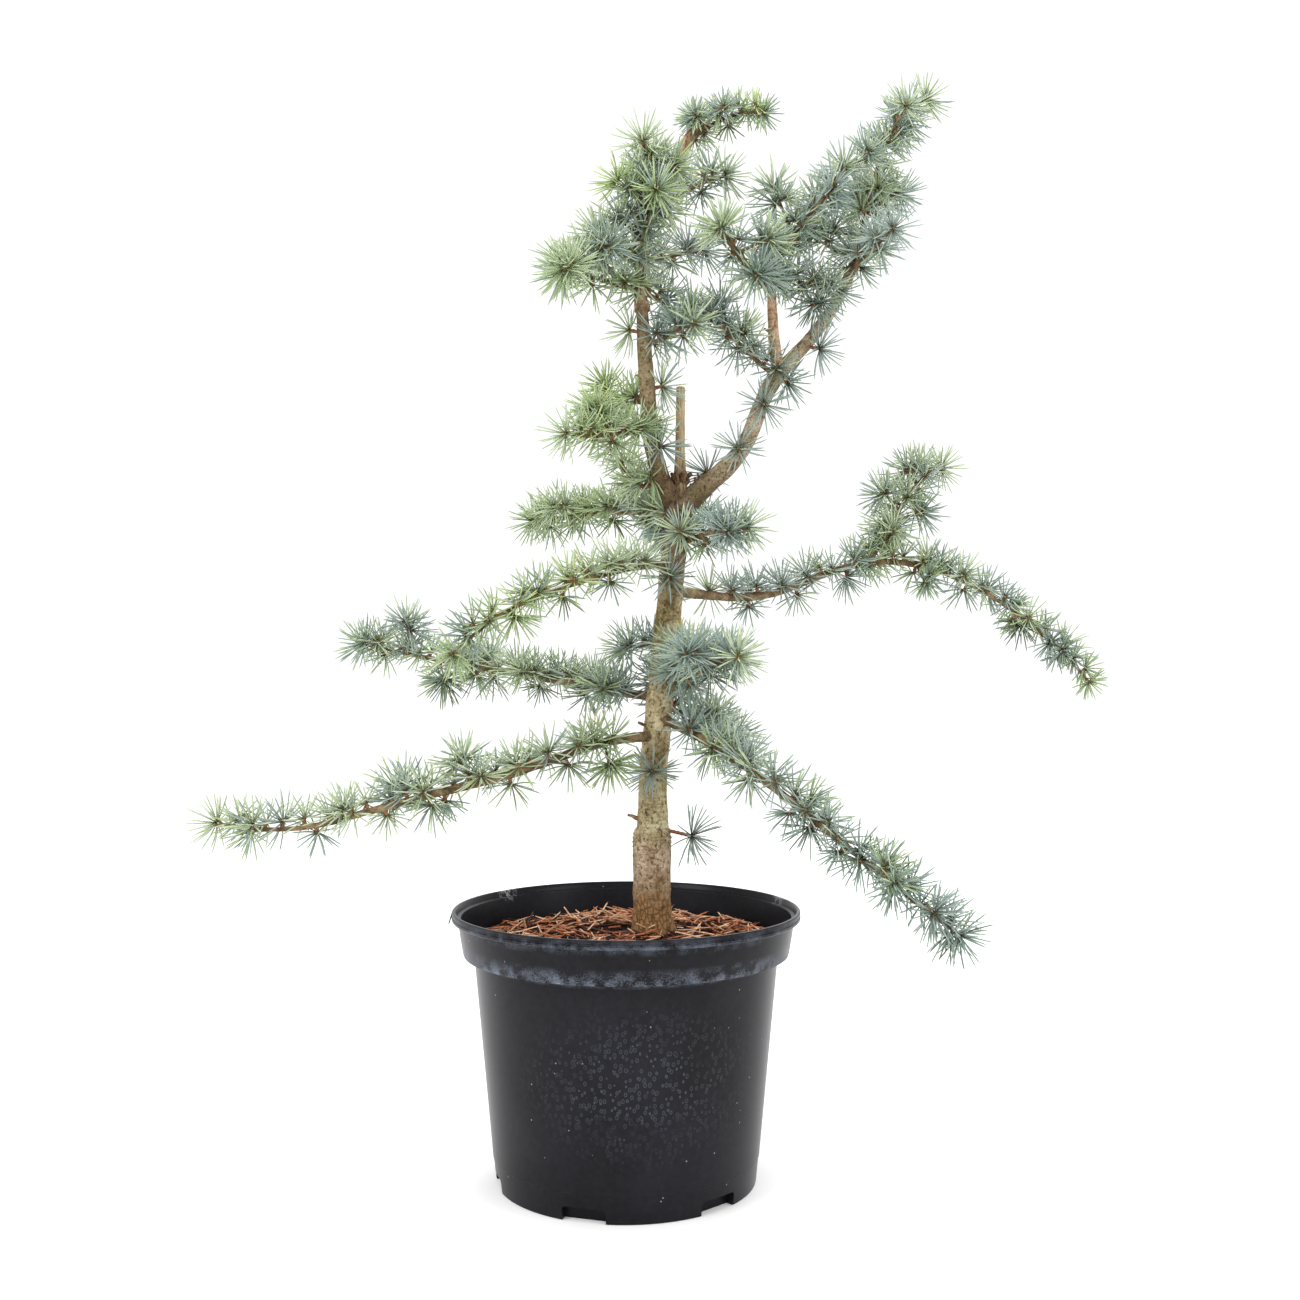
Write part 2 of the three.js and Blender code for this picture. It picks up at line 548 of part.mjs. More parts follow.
// Pot and soil
function notches(grow) {
  const half = NOTCH_WIDTH / 2 + grow;
  const top = NOTCH_HEIGHT + grow;
  const outline = new THREE.Shape();
  outline.moveTo(-half, -1);
  outline.lineTo(half, -1);
  outline.lineTo(half - NOTCH_SLANT, top - NOTCH_CORNER);
  outline.lineTo(half - NOTCH_SLANT - NOTCH_CORNER, top);
  outline.lineTo(NOTCH_CORNER + NOTCH_SLANT - half, top);
  outline.lineTo(NOTCH_SLANT - half, top - NOTCH_CORNER);
  const depth = NOTCH_DEPTH + grow + 2 * WALL;
  return Array.from({ length: NOTCH_COUNT }, (_, i) => {
    const geometry = new THREE.ExtrudeGeometry(outline, { depth, bevelEnabled: false });
    geometry.rotateX(Math.PI / 2);
    geometry.translate(0, NOTCH_DEPTH + grow - BASE_RADIUS, 0);
    geometry.rotateZ(THREE.MathUtils.degToRad(NOTCH_TURN + (i * 360) / NOTCH_COUNT));
    return solidFrom(geometry);
  });
}

function potSolid() {
  const outside = solidFrom(turned([
    [0, 0], [BASE_RADIUS, 0], [BODY_RADIUS, COLLAR_BOTTOM],
    [COLLAR_RADIUS - COLLAR_ROUND[0], COLLAR_BOTTOM], [COLLAR_RADIUS, COLLAR_BOTTOM + COLLAR_ROUND[1]],
    [COLLAR_TOP_RADIUS, LIP_BOTTOM], [LIP_RADIUS - LIP_STEP, LIP_BOTTOM],
    [LIP_RADIUS, POT_HEIGHT - LIP_ROUND[1]], [LIP_RADIUS - LIP_ROUND[0], POT_HEIGHT], [0, POT_HEIGHT],
  ], POT_SIDES));
  const hollow = notches(WALL).reduce((rest, notch) => rest.subtract(notch), hollowSolid(0, POT_HEIGHT + 1));
  return notches(0).reduce((rest, notch) => rest.subtract(notch), outside.subtract(hollow));
}

// The space inside the pot's wall, `clear` away from it, up to a height.
function hollowSolid(clear, top) {
  const wall = WALL + clear;
  return solidFrom(turned([
    [0, wall], [BASE_RADIUS - wall, wall], [BODY_RADIUS - wall, COLLAR_BOTTOM + wall],
    [COLLAR_RADIUS - wall, COLLAR_BOTTOM + wall], [COLLAR_TOP_RADIUS - wall, LIP_BOTTOM + wall - LIP_STEP],
    [LIP_RADIUS - 2 * wall, LIP_BOTTOM + wall], [LIP_RADIUS - LIP_STEP - wall, top], [0, top],
  ], POT_SIDES));
}

// The top of the soil and its mulch: level round the trunk, then falling and lumpy out to the wall.
function mulchTop(radius, bearing) {
  const fall = THREE.MathUtils.clamp((radius - SOIL_PLATEAU) / (COLLAR_RADIUS - SOIL_PLATEAU), 0, 1);
  const lumps = Math.sin(LUMPS_ROUND[0] * bearing + radius) + Math.sin(LUMPS_ROUND[1] * bearing);
  return THREE.MathUtils.lerp(SOIL_TOP, SOIL_EDGE, fall) + SOIL_BUMP * lumps * fall;
}

function soilSolid() {
  const steps = [LIP_RADIUS, SOIL_SHOULDER, SOIL_PLATEAU, 0].map((radius) => [radius, SOIL_TOP]);
  const geometry = turned([[0, 0], [LIP_RADIUS, 0], ...steps], POT_SIDES);
  const position = geometry.getAttribute('position');
  for (let i = 0; i < position.count; i += 1) {
    const [x, y, z] = [position.getX(i), position.getY(i), position.getZ(i)];
    if (z > 0) {
      position.setZ(i, mulchTop(Math.hypot(x, y), Math.atan2(y, x)));
    }
  }
  const heap = solidFrom(geometry).intersect(hollowSolid(GAP, POT_HEIGHT));
  return notches(WALL + GAP).reduce((rest, notch) => rest.subtract(notch), heap);
}

// The trunk's flared foot, cut flat at the soil.
function flaredTrunk(trunk) {
  const flareAt = (station) => mix(FLARE_GIRTHS, station / FLARE_HEIGHT);
  const flare = limbSolid(trunk.path, -FLARE_SINK, FLARE_HEIGHT, flareAt, LIMBS[0].sides, 0);
  const ground = new THREE.BoxGeometry(...GROUND).translate(0, 0, TRUNK_FOOT[2] - GROUND[2] / 2);
  return trunk.solid.add(flare).subtract(solidFrom(ground));
}

// Nodes
const group = new THREE.Group();
group.name = 'potted_cedar';

function addNode(name, solid, finish) {
  const { numProp, vertProperties, triVerts } = solid.simplify(SMALLEST_EDGE).getMesh();
  const geometry = new THREE.BufferGeometry();
  geometry.setAttribute('position', new THREE.BufferAttribute(vertProperties, numProp));
  geometry.setIndex(new THREE.BufferAttribute(triVerts, 1));
  geometry.computeVertexNormals();
  const [color, roughness] = FINISHES[finish];
  const mesh = new THREE.Mesh(geometry, new THREE.MeshStandardMaterial({ color, roughness }));
  mesh.name = name;
  group.add(mesh);
}

const courses = {};
for (const { name, on, at, length, bearings, rises } of [...LIMBS, ...SHOOTS]) {
  const foot = on ? spotOn(courses[on], at).point : new THREE.Vector3(...TRUNK_FOOT);
  courses[name] = course(foot, length, bearings, rises);
}

addNode('pot', potSolid(), 'pot');
addNode('soil', soilSolid(), 'soil');

for (const { name, length, girths, sides } of LIMBS) {
  const made = addWood(name, courses[name], 0, length, girths, sides);
  const solid = name === 'trunk' ? flaredTrunk(made) : made.solid;
  addNode(name, solid, name === 'dead_stub' ? 'dead_wood' : 'bark');
}

const masses = [];
for (const { name, length, bare = 0, girths, twigs = 0, sprigs = [], needles = [NEEDLE, NEEDLE] } of SHOOTS) {
  if (bare > 0) {
    const bough = addWood(`bough_${name}`, courses[name], 0, bare, girths, BOUGH_SIDES);
    addNode(bough.owner, bough.solid, 'young_bark');
  }
  const from = bare > 0 ? bare + GAP : 0;
  const stem = addWood(`foliage_${name}`, courses[name], from, length, girths, STEM_SIDES);
  masses.push({ stem, twigs, sprigs, needles });
}
for (const { name, on, at, bearing, rise, spur, needle = NEEDLE } of TUFTS) {
  const limb = wood.find(({ owner }) => owner === on);
  const solid = tuftSolid(`tuft_${name}`, limb, at, heading(bearing, rise), spur, needle);
  addNode(`tuft_${name}`, solid, 'needles');
}
for (const { stem, twigs, sprigs, needles } of masses) {
  addNode(stem.owner, massSolid(stem, twigs, sprigs, needles), 'needles');
}

export default group;
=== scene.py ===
# The looks of a young blue Atlas cedar in its black nursery pot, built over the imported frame.
# The tables and the rule that limbs, twigs and rosettes grow by are those of the part's source. They are in
# millimetres and degrees, a bearing counted from +X towards +Y and a rise counted up from level.

import math

import bpy
import numpy as np
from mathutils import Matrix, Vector, noise


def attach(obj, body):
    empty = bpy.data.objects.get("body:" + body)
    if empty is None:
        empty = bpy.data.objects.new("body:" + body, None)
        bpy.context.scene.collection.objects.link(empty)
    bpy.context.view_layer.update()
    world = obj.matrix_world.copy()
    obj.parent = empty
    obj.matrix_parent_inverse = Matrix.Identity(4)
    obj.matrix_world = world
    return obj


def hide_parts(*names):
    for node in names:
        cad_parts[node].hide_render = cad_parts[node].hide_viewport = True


MM = 0.001

# Pot and soil
POT_SIDES = 180
FOOT_RADIUS = 97.0
BODY_RADIUS = 113.4
COLLAR_BOTTOM = 168.7
COLLAR_RADIUS = 121.6
COLLAR_TOP_RADIUS = 125.4
LIP_BOTTOM = 194.8
LIP_RADIUS = 130.0
POT_HEIGHT = 201.5
WALL = 2.2
STEP_HEIGHT = 20.0
NOTCH_COUNT = 6
NOTCH_TURN = 43.0
NOTCH_WIDTH = 32.0
NOTCH_HEIGHT = 10.5
NOTCH_DEPTH = 8.0
SHARP_EDGE = 32
TOUCHING = 1e-6
SOIL_TOP = 184.7
SOIL_EDGE = 177.5
SOIL_PLATEAU = 52.0
SOIL_BUMP = 1.1
LUMPS_ROUND = (7, 13)
SOIL_RINGS = 26
SOIL_MIDDLE = 3
SOIL_LUMPS = [(1.6, 7), (0.8, 2.5)]
SOIL_SUNK = 2.4

# Limbs: steps of a course, where the trunk starts, the gap to the wood and how closely the wood is sampled
# for it, the share of its girth that a shoot's stem keeps, a limb's collar, and how far in a limb starts
COURSE_STEPS = 60
TRUNK_FOOT = (20.0, 0.0, 185.0)
GAP = 0.3
WOOD_SAMPLE = 3.0
BOUGH_SHARE = 0.9
LIMB_COLLAR = 0.3
LIMB_COLLAR_FADE = 6.0
FOOT_SUNK = 1.5

# How long the steps along a piece of wood are and how many sides it has
TRUNK_MESH = (1.1, 120)
LIMB_MESH = (1.4, 56)
SHOOT_MESH = (2.5, 12)
TWIG_MESH = (2.5, 8)
SPUR_MESH = (1.2, 6)
SNAG_MESH = (1.0, 14)
CUT_MESH = (0.5, 28)

# Needles: length, width, the places along them with their widths, where they are tested against the wood, and
# how far they bend
NEEDLE = 24.5
NEEDLE_WIDTH = 1.15
NEEDLE_SIDES = 3
NEEDLE_BANDS = np.array([0.0, 0.45, 0.84])
NEEDLE_WIDTHS = np.array([0.75, 1.1, 0.9])
NEEDLE_TESTS = np.array([0.45, 0.75, 1.0])
NEEDLE_NEAR = NEEDLE * 1.6
NEEDLE_BEND = (0.04, 0.24)

# Rosettes: numbers of needles, opening from the axis, where needles are rooted round and behind the middle,
# and the share of their length
MAIN_NEEDLES = (32, 42)
FINE_NEEDLES = (20, 28)
TIP_NEEDLES = 34
TUFT_NEEDLES = 36
STALKED_NEEDLES = 46
OPENING = (12, 98)
OPENING_JITTER = 6
FULL_TURN = 6.28
TURN_JITTER = 0.15
ROOT_ROUND = 0.9
ROOT_BEHIND = 0.8
REACH = (0.84, 1.03)
FINE_REACH = (0.8, 1.0)
OUTER_SHORTER = 0.06
MAIN_SPACING = 9.5
FINE_SPACING = 8.0
TIP_START = 0.7
TIP_SWEEP = 1.2
TIP_FOOT = 3.5

# Single needles round the leading end of a shoot: over what length and at most what share of it, how far
# apart, how far they lean out, how long they are and how far in the wood they start
LEADING_END = 32.0
LEADING_SHARE = 0.4
LEADING_STEP = 2.0
LEADING_LEAN = (38, 68)
LEADING_LENGTH = (12, 19)
SUNK = 0.7

# Spurs and twigs: how they are spaced and turned round a stem, a spur's scaly barrel and bud, and the twigs'
# girth, lift, droop, spread and length
SPUR_EVERY = 32
FINE_SPUR_EVERY = 9.0
SPUR_RISE = 4.6
SPUR_FOOT = 0.6
SPUR_LEAN = 0.5
SPUR_JITTER = (0.2, 0.7)
ROLL_JITTER = 40
LOW_SPUR = 5
UPWARD = 0.6
GOLDEN_TURN = 137.5
BARREL = 1.45
BARREL_SCALES = (0.18, 1.8)
BUD = 1.2
BUD_SPAN = (0.6, 1.9)
TWIG_GIRTH = 2.4
TWIG_TAPER = 0.018
TWIG_LIFT = 0.35
TWIG_DROOP = 6
TWIG_SPREAD = (35, 58)
TWIG_LENGTH = (26, 46)
TWIG_JITTER = (0.3, 0.7)


# A stem is its name, the one that bears it, the station there, its length, and its bearings, rises and girths
# from foot to tip. A shoot also has the bare length at its foot, its number of side twigs, the lengths of its
# needles, and sprigs, which are twigs at given places: station, bearing, rise and length.
def stem(name, on, at, length, bearings, rises, girths, bare=0, twigs=0, needles=(NEEDLE, NEEDLE), sprigs=()):
    return dict(name=name, on=on, at=at, length=length, bearings=bearings, rises=rises, girths=girths,
                bare=bare, twigs=twigs, needles=needles, sprigs=sprigs)


LIMBS = [
    stem("trunk", None, 0, 320, (189, 364, 389), (86, 94, 84, 84, 85, 82),
         (30, 28.5, 28.5, 28.5, 22.8, 21.8, 21, 20.8, 20.4, 20, 19.6, 19, 19, 19.4, 21)),
    stem("left_leader", "trunk", 315, 199, (185, 252, 263), (56, 82, 75, 64),
         (15, 14, 13, 12.6, 12.2, 11.6, 10.6, 8, 6.8, 6)),
    stem("right_leader", "trunk", 315, 134, (17, 1, 0), (45, 40, 72, 57),
         (17.5, 16, 13.5, 12.5, 12, 12.6)),
    stem("dead_stub", "trunk", 315, 94, (77, 67), (80, 89, 88), (13, 11, 8.2, 7.2, 7, 6.8)),
    stem("right_outer_limb", "right_leader", 134, 101, (7, 28), (43, 52, 67), (11, 10, 9, 7.6)),
    stem("right_inner_limb", "right_leader", 134, 66, (243, 263), (56, 75, 65), (9, 8, 6.5)),
    stem("pruned_limb", "left_leader", 155, 192, (99, 68, 1), (40, 66, 56, 63), (9.5, 9, 9, 9, 8.6)),
]

SHOOTS = [
    stem("low_left", "trunk", 145, 336, (227, 208, 188, 177), (4, -17, -12, -16, 14),
         (8.6, 7, 6.4, 5, 1.9), bare=46, twigs=1, sprigs=[(52, 300, -60, 18), (160, 120, 60, 22)]),
    stem("mid_left", "trunk", 175, 270, (141, 152, 164, 180), (2, 9, 8, 10, 12), (8, 6.6, 5.4, 1.9),
         bare=26, twigs=1, sprigs=[(34, 235, 10, 30), (190, 230, -45, 20), (226, 255, 70, 30)]),
    stem("left_arch", "trunk", 275, 213, (233, 220, 206), (-2, -13, -20, -46), (6.4, 5.2, 4.2, 1.9),
         bare=34),
    stem("left_short", "trunk", 310, 168, (119, 138, 149), (12, 6, -4, 0), (6.4, 5, 1.9),
         sprigs=[(112, 200, 15, 28)]),
    stem("right_short", "trunk", 290, 72, (303, 300), (8, 5, -5), (5.4, 4.2, 1.9)),
    stem("high_right", "trunk", 255, 192, (50, 27, 12), (-4, -2, 22, 12), (8.6, 7.4, 7, 6.4), bare=40),
    stem("high_right_out", "high_right", 192, 208, (5, -19, -28), (6, -24, -40, -50), (6, 4.8, 3.6, 1.9),
         needles=(24.5, 24.5, 22, 16), sprigs=[(14, 60, 60, 24), (40, 280, -35, 26)]),
    stem("high_right_up", "high_right", 192, 117, (31, 32), (48, 58, 18), (5, 4, 1.9),
         sprigs=[(44, 10, 20, 26), (60, 190, 30, 20), (84, 100, 60, 18)]),
    stem("low_right", "trunk", 160, 291, (306, 310, 338, 353), (-13, -19, -33, -38, -36),
         (8, 6.6, 5.4, 1.9), bare=24, twigs=1, sprigs=[(34, 10, 30, 26)]),
    stem("low_right_side", "trunk", 168, 76, (22, 34), (-14, -22, -26), (4.6, 3.6, 2.2)),
    stem("front_right", "trunk", 185, 126, (303, 286, 302), (6, 11, 8, 13), (6, 4.6, 1.9), twigs=1),
    stem("front_right_up", "trunk", 210, 82, (294, 302), (-12, 4, -4), (4.8, 3.8, 2.2)),
    stem("small_left", "trunk", 213, 43, (150, 130), (8, -6, -6), (3.6, 2.8, 2)),
    stem("left_cluster", "left_leader", 65, 80, (225, 214), (-11, -10, 2), (5.2, 4, 1.9),
         sprigs=[(36, 200, 50, 26)]),
    stem("left_cluster_up", "left_leader", 85, 70, (121, 133), (14, -1, -8), (4.4, 3.4, 1.9),
         sprigs=[(34, 150, 45, 24)]),
    stem("left_cluster_low", "left_leader", 30, 73, (129, 130), (-42, 40, 51), (4.2, 3.4, 2.2)),
    stem("leader_twig_low", "left_leader", 125, 50, (311, 324), (17, 12, 13), (3.4, 2.8, 2)),
    stem("leader_twig_high", "left_leader", 165, 54, (63, 43), (12, -16, -20), (3.6, 3, 2)),
    stem("dark_spray", "pruned_limb", 55, 75, (58, 34), (17, 17, 15), (4, 3.2, 2)),
    stem("crest_left", "left_leader", 185, 77, (223, 214), (28, -25, -36), (4.6, 3.6, 1.9),
         sprigs=[(20, 170, 45, 24)]),
    stem("crest_low", "left_leader", 168, 62, (204, 196), (0, 14, -4), (4.4, 3.4, 1.9)),
    stem("crown_dome", "left_leader", 199, 65, (260, 345), (60, 82, 66), (5.6, 4.4, 1.9),
         sprigs=[(14, 350, 35, 24), (26, 300, 20, 26), (46, 0, 25, 26)]),
    stem("crown_right_twig", "pruned_limb", 110, 65, (330, 334), (16, 14, 6), (6, 5, 2.2)),
    stem("crown_tip", "pruned_limb", 176, 68, (324, 344), (25, 16, -14), (4.4, 3.4, 1.9),
         needles=(19, 17), sprigs=[(18, 185, 40, 12), (34, 250, 10, 12)]),
    stem("crown_back", "pruned_limb", 125, 77, (114, 75), (38, 31, 28), (5, 4, 1.9), twigs=1),
    stem("fork_left_twig", "right_leader", 130, 90, (215, 212), (22, 36, 26, 20), (4.4, 3.4, 1.9),
         sprigs=[(24, 200, 65, 24), (48, 190, 72, 28)]),
    stem("inner_shoot", "right_inner_limb", 66, 132, (334, 387, 385), (87, 44, 52, 34),
         (5.6, 4.8, 3.8, 1.9), sprigs=[(40, 160, 72, 40)]),
    stem("cut_limb", "right_inner_limb", 60, 73, (241, 218), (6, 31, 40), (5.4, 5, 4.6),
         sprigs=[(24, 265, -8, 26), (50, 10, 30, 26), (58, 200, 55, 16)]),
    stem("outer_inner", "right_outer_limb", 76, 54, (222, 204), (16, 8, 4), (4.4, 3.4, 1.9),
         sprigs=[(22, 250, -45, 22)]),
    stem("outer_shoot", "right_outer_limb", 101, 165, (52, 43, -20), (62, 69, 72, 26), (6.4, 5.2, 4, 1.9),
         twigs=1, sprigs=[(8, 195, 30, 48), (34, 180, 5, 42)]),
    stem("outer_side", "right_outer_limb", 98, 66, (294, 291), (27, 12, 16), (4.6, 3.6, 2.2)),
    stem("outer_back", "outer_shoot", 55, 68, (48, 62), (32, 28, 14), (4, 3.2, 2.2)),
    stem("back_low", "trunk", 180, 145, (85, 77, 75), (15, 10, 7, 3), (6.4, 5, 1.9), twigs=2),
    stem("back_mid", "trunk", 295, 116, (100, 82), (7, 13, 6), (5.6, 4.4, 1.9), twigs=1),
]

# Rosettes on short spurs: name, limb, station, bearing, rise, and the lengths of spur and needles
TUFTS = [
    ("trunk_front", "trunk", 117, 268, 12, 5, NEEDLE),
    ("trunk_right", "trunk", 77, 340, -10, 19, 27),
    ("trunk_back", "trunk", 112, 95, 15, 5, NEEDLE),
    ("trunk_high_front", "trunk", 262, 262, 12, 5, NEEDLE),
    ("leader_front", "left_leader", 48, 300, 20, 5, NEEDLE),
    ("leader_right", "left_leader", 95, 350, 10, 6, NEEDLE),
    ("leader_left", "left_leader", 136, 190, 10, 6, NEEDLE),
    ("fork_front", "right_leader", 62, 275, 25, 5, NEEDLE),
    ("fork_back", "right_leader", 36, 110, 30, 5, NEEDLE),
    ("fork_high", "right_leader", 104, 280, 0, 5, NEEDLE),
    ("fork_right", "right_leader", 126, 5, -5, 5, NEEDLE),
    ("outer_low", "right_outer_limb", 28, 330, -14, 9, NEEDLE),
]

# The finish of each limb that isn't plain bark
LIMB_FINISHES = {
    "trunk": "trunk_bark", "left_leader": "leader_bark", "pruned_limb": "young_limb_bark",
    "right_inner_limb": "young_limb_bark", "dead_stub": "weathered_wood",
}

# Relief of bark: the sizes of its plates, lumps and grain, then how deep these three are on each kind of
# wood. On a limb the plates and lumps grow with its girth.
PLATE = (5.5, 11.0)
FURROW_SHARPNESS = 14
LUMP = 14.0
GRAIN = 2.2
GRAIN_SHIFT = 40.0
TRUNK_RELIEF = (0.2, 0.9, 0.3)
SHOOT_RELIEF = (0.15, 0.3, 0.3)
TWIG_RELIEF = (0.0, 0.2, 0.2)
SNAG_RELIEF = (0.1, 0.9, 0.5)
CUT_RELIEF = (0.05, 0.3, 0.3)
LIMB_PLATES = 0.012
LIMB_LUMPS = 0.035
LIMB_GRAIN = 0.22

# The trunk's flared foot with its lobes (number, depth, turn), and its union: wrinkles, a bulge below it and
# a step above it, most on the left
FLARE_HEIGHT = 6.0
FLARE_REACH = 1.8
LOBES = [(3, 0.35, 1.0), (5, 0.2, 0.0)]
UNION_HEIGHT = 252.0
UNION_SPREAD = 9.0
UNION_RAGGED = (1.5, 12.0, 9.0)
WRINKLE_DEPTH = 0.55
WRINKLE_PITCH = 3.2
UNION_STATION = 75.0
UNION_STEP = 2.0
STEP_WIDTH = 2.5
STEP_FADE = 22
BULGE = 0.9
BULGE_BELOW = 7
BULGE_SPREAD = 6
LEFT_SHARES = (0.6, 0.4)

# Heights between which the flaky bark of the foot gives way to smooth bark, how ragged such limits are, the
# share of broad noise in patches, and the colours of flecks and algae
FOOT_BARK = (222.0, 238.0)
RAGGEDNESS = 0.03
BROAD_SHARE = 0.65
FLECK = (66, 50, 36)
ALGAE = (136, 134, 90)

# What bark is multiplied by between two heights: a little brown at the foot, plain below the union,
# greenish above it, and dark at the fork, partly dark bark and partly painted shade from the crotch and the
# crown
TINT_AND_FORK_SHADE_SPAN = (185.0, 585.0)
BARK_TINTS_AND_FORK_SHADE = [
    (0.0, (240, 216, 192)), (0.1, (250, 232, 214)), (0.14, (255, 246, 240)), (0.19, (250, 240, 230)),
    (0.23, (246, 248, 226)), (0.6, (240, 239, 216)), (0.71, (190, 184, 172)), (0.77, (150, 142, 130)),
    (0.83, (138, 126, 112)), (0.88, (196, 188, 176)), (0.95, (255, 255, 255)),
]

# The tones of each bark, light, middle and dark, and how much of it is green with algae
BARKS = {
    "trunk_bark": ((216, 202, 182), (168, 150, 122), (112, 92, 62), 0.45),
    "limb_bark": ((196, 180, 158), (162, 144, 118), (116, 96, 72), 0.45),
    "leader_bark": ((172, 150, 124), (134, 112, 86), (90, 70, 50), 0.35),
    "young_limb_bark": ((200, 170, 142), (172, 138, 108), (122, 90, 64), 0.15),
    "snag_bark": ((188, 158, 132), (140, 110, 86), (74, 56, 42), 0.1),
}
FOOT_FLAKES = [(0.0, (96, 75, 50)), (0.12, (148, 122, 87)), (0.5, (182, 155, 118))]
WEATHERED_WOOD = [(0.3, (104, 84, 56)), (0.5, (168, 148, 112)), (0.72, (206, 190, 158))]
TWIG_BARK = [(0.0, (56, 43, 28)), (0.45, (102, 84, 58)), (1.0, (150, 130, 98))]

# Dark and light tone of the plain grainy finishes
GRAINY = {
    "cut_wood": ((176, 132, 96), (214, 182, 146)),
    "spur_bark": ((104, 66, 44), (166, 122, 88)),
    "soil": ((34, 20, 15), (80, 46, 32)),
    "mulch_rust": ((124, 62, 38), (214, 136, 94)),
    "mulch_tan": ((196, 138, 98), (250, 212, 176)),
    # Dark mulch: dark fibres, which also serve as painted shade in the gaps between the lighter pieces
    "mulch_dark": ((26, 14, 11), (74, 40, 28)),
    "mulch_stick": ((104, 62, 42), (182, 136, 102)),
}

# Broken twigs and knobs: the limb they stand on, station, bearing, rise, length from its middle and girth
SNAGS = [
    ("trunk", 79, 186, 22, 20, 2.8), ("trunk", 150, 208, 20, 17, 3.0), ("trunk", 208, 300, 10, 11.0, 5.0),
    ("left_leader", 72, 10, 5, 9.5, 2.4), ("left_leader", 104, 175, 10, 9, 2.2),
    ("right_inner_limb", 30, 190, 20, 8, 3.0),
    ("right_leader", 14, 95, 64, 13.5, 2.6), ("right_leader", 20, 250, 66, 13.0, 2.4),
    ("right_leader", 26, 200, 70, 12.5, 2.2), ("right_leader", 33, 240, 62, 11.5, 2.0),
]

# How much wider a snag is at its middle than its girth, and how much slimmer at its tip
SNAG_TAPER = (1.7, 0.6)

# Torn bark stands in two rings of teeth round the foot of the dead stub: station, number, length and girth.
# Their rise, turn, station and length vary.
TORN_RINGS = [(15, 9, 13.0, 4.2), (20, 8, 11.0, 3.6)]
TORN_RISE = (35, 62)
TORN_TURN = 0.6
TORN_SHIFT = 3
TORN_LENGTHS = (0.8, 0.4)

# Limbs that end in a cut or a break, with a pale face: a disc this deep and proud, and its share of the girth
CUT_TIPS = ["pruned_limb", "cut_limb", "dead_stub"]
CUT_DEPTH = 2.0
CUT_PROUD = 1.0
CUT_TAPER = (0.92, 0.86)

# Mulch: name, number, length range, width, lift above the soil and slope. It keeps clear of the wall.
MULCH_SEED = 11
MULCH_REACH = COLLAR_RADIUS - WALL - 2
MULCH_MIDDLE = 0.015
MULCH_SUNK = 1.5
MULCH_BEND = 0.08
MULCH = [
    # The dark pieces lie low: dark fibres that are also painted shade between the lighter pieces
    ("dark", 700, (14, 30), 2.0, 2.0, 0.12),
    ("rust", 400, (16, 34), 1.6, 3.2, 0.18),
    ("tan", 330, (14, 34), 1.35, 4.4, 0.22),
    ("stick", 50, (24, 48), 2.4, 3.5, 0.18),
]
MULCH_LOWEST = 173.0

# A torn flake of plastic hangs from the lip: (turn from its bearing, drop) of its ragged lower edge.
FLAKE_BEARING = 186.0
FLAKE_TOP = 200.4
FLAKE_THICK = 0.9
FLAKE_LEAN = 0.3
FLAKE_DROPS = [
    (-1.9, 1.0), (-1.2, 4.5), (-0.5, 5.6), (0.0, 8.6), (0.5, 5.0), (1.1, 7.2), (1.7, 3.6), (2.4, 1.0),
]

# The pot: its plastic, and the lime, drops, scuffs and dust on it
PLASTIC = [(0.0, (12, 12, 15)), (1.0, (31, 30, 36))]
LIME = (122, 130, 144)
DRIED_DROP = (84, 88, 96)
SCUFF = (150, 152, 158)
DUST = (134, 136, 142)

# Bottom, peak and top height of each band of lime and how strong it is
LIME_BANDS = [(165.0, 169.5, 181.0, 0.85), (189.0, 195.5, 202.5, 0.5)]

# Middle of the zone of dried drops, how much lower than wide it is, how far out it ends and how far out it
# is full, then the scuffs on the lip
DROP_ZONE = (12.0, -102.0, 97.0)
DROP_ZONE_SQUAT = 1.5
DROP_ZONE_EDGE = 94.0
DROP_ZONE_FULL = 30.0
SCUFFS = [(-99.0, 82.4, 201.5), (123.3, 48.0, 201.5)]
SCUFF_REACH = 12.0

# Camera, level at the side seen in the photo, the floor, and lights in metres and watts
CAMERA_PLACE = (17.7, -1126.5, 394.7)
CAMERA_LENS = 41.59
FLOOR_RADIUS = 40
FLOOR_SIDES = 96
PALE = (246, 246, 246)
WHITE = (1, 1, 1, 1)
WORLD_LIGHT = 1.12
# The floor glows a little: painted light that pales the pot's contact shadow on it
FLOOR_PAINTED_GLOW = 0.12
LIGHTS = [
    ("left_softbox", (-1.6, -1.3, 1.5), (0, 0, 0.35), 1.2, 22),
    ("right_softbox", (1.7, -1.2, 1.3), (0, 0, 0.35), 1.2, 12),
    ("top_softbox", (0.1, 0.2, 2.4), (0, 0, 0.3), 1.4, 18),
    ("back_softbox", (0.6, 1.8, 1.4), (0, 0, 0.4), 1.2, 10),
]

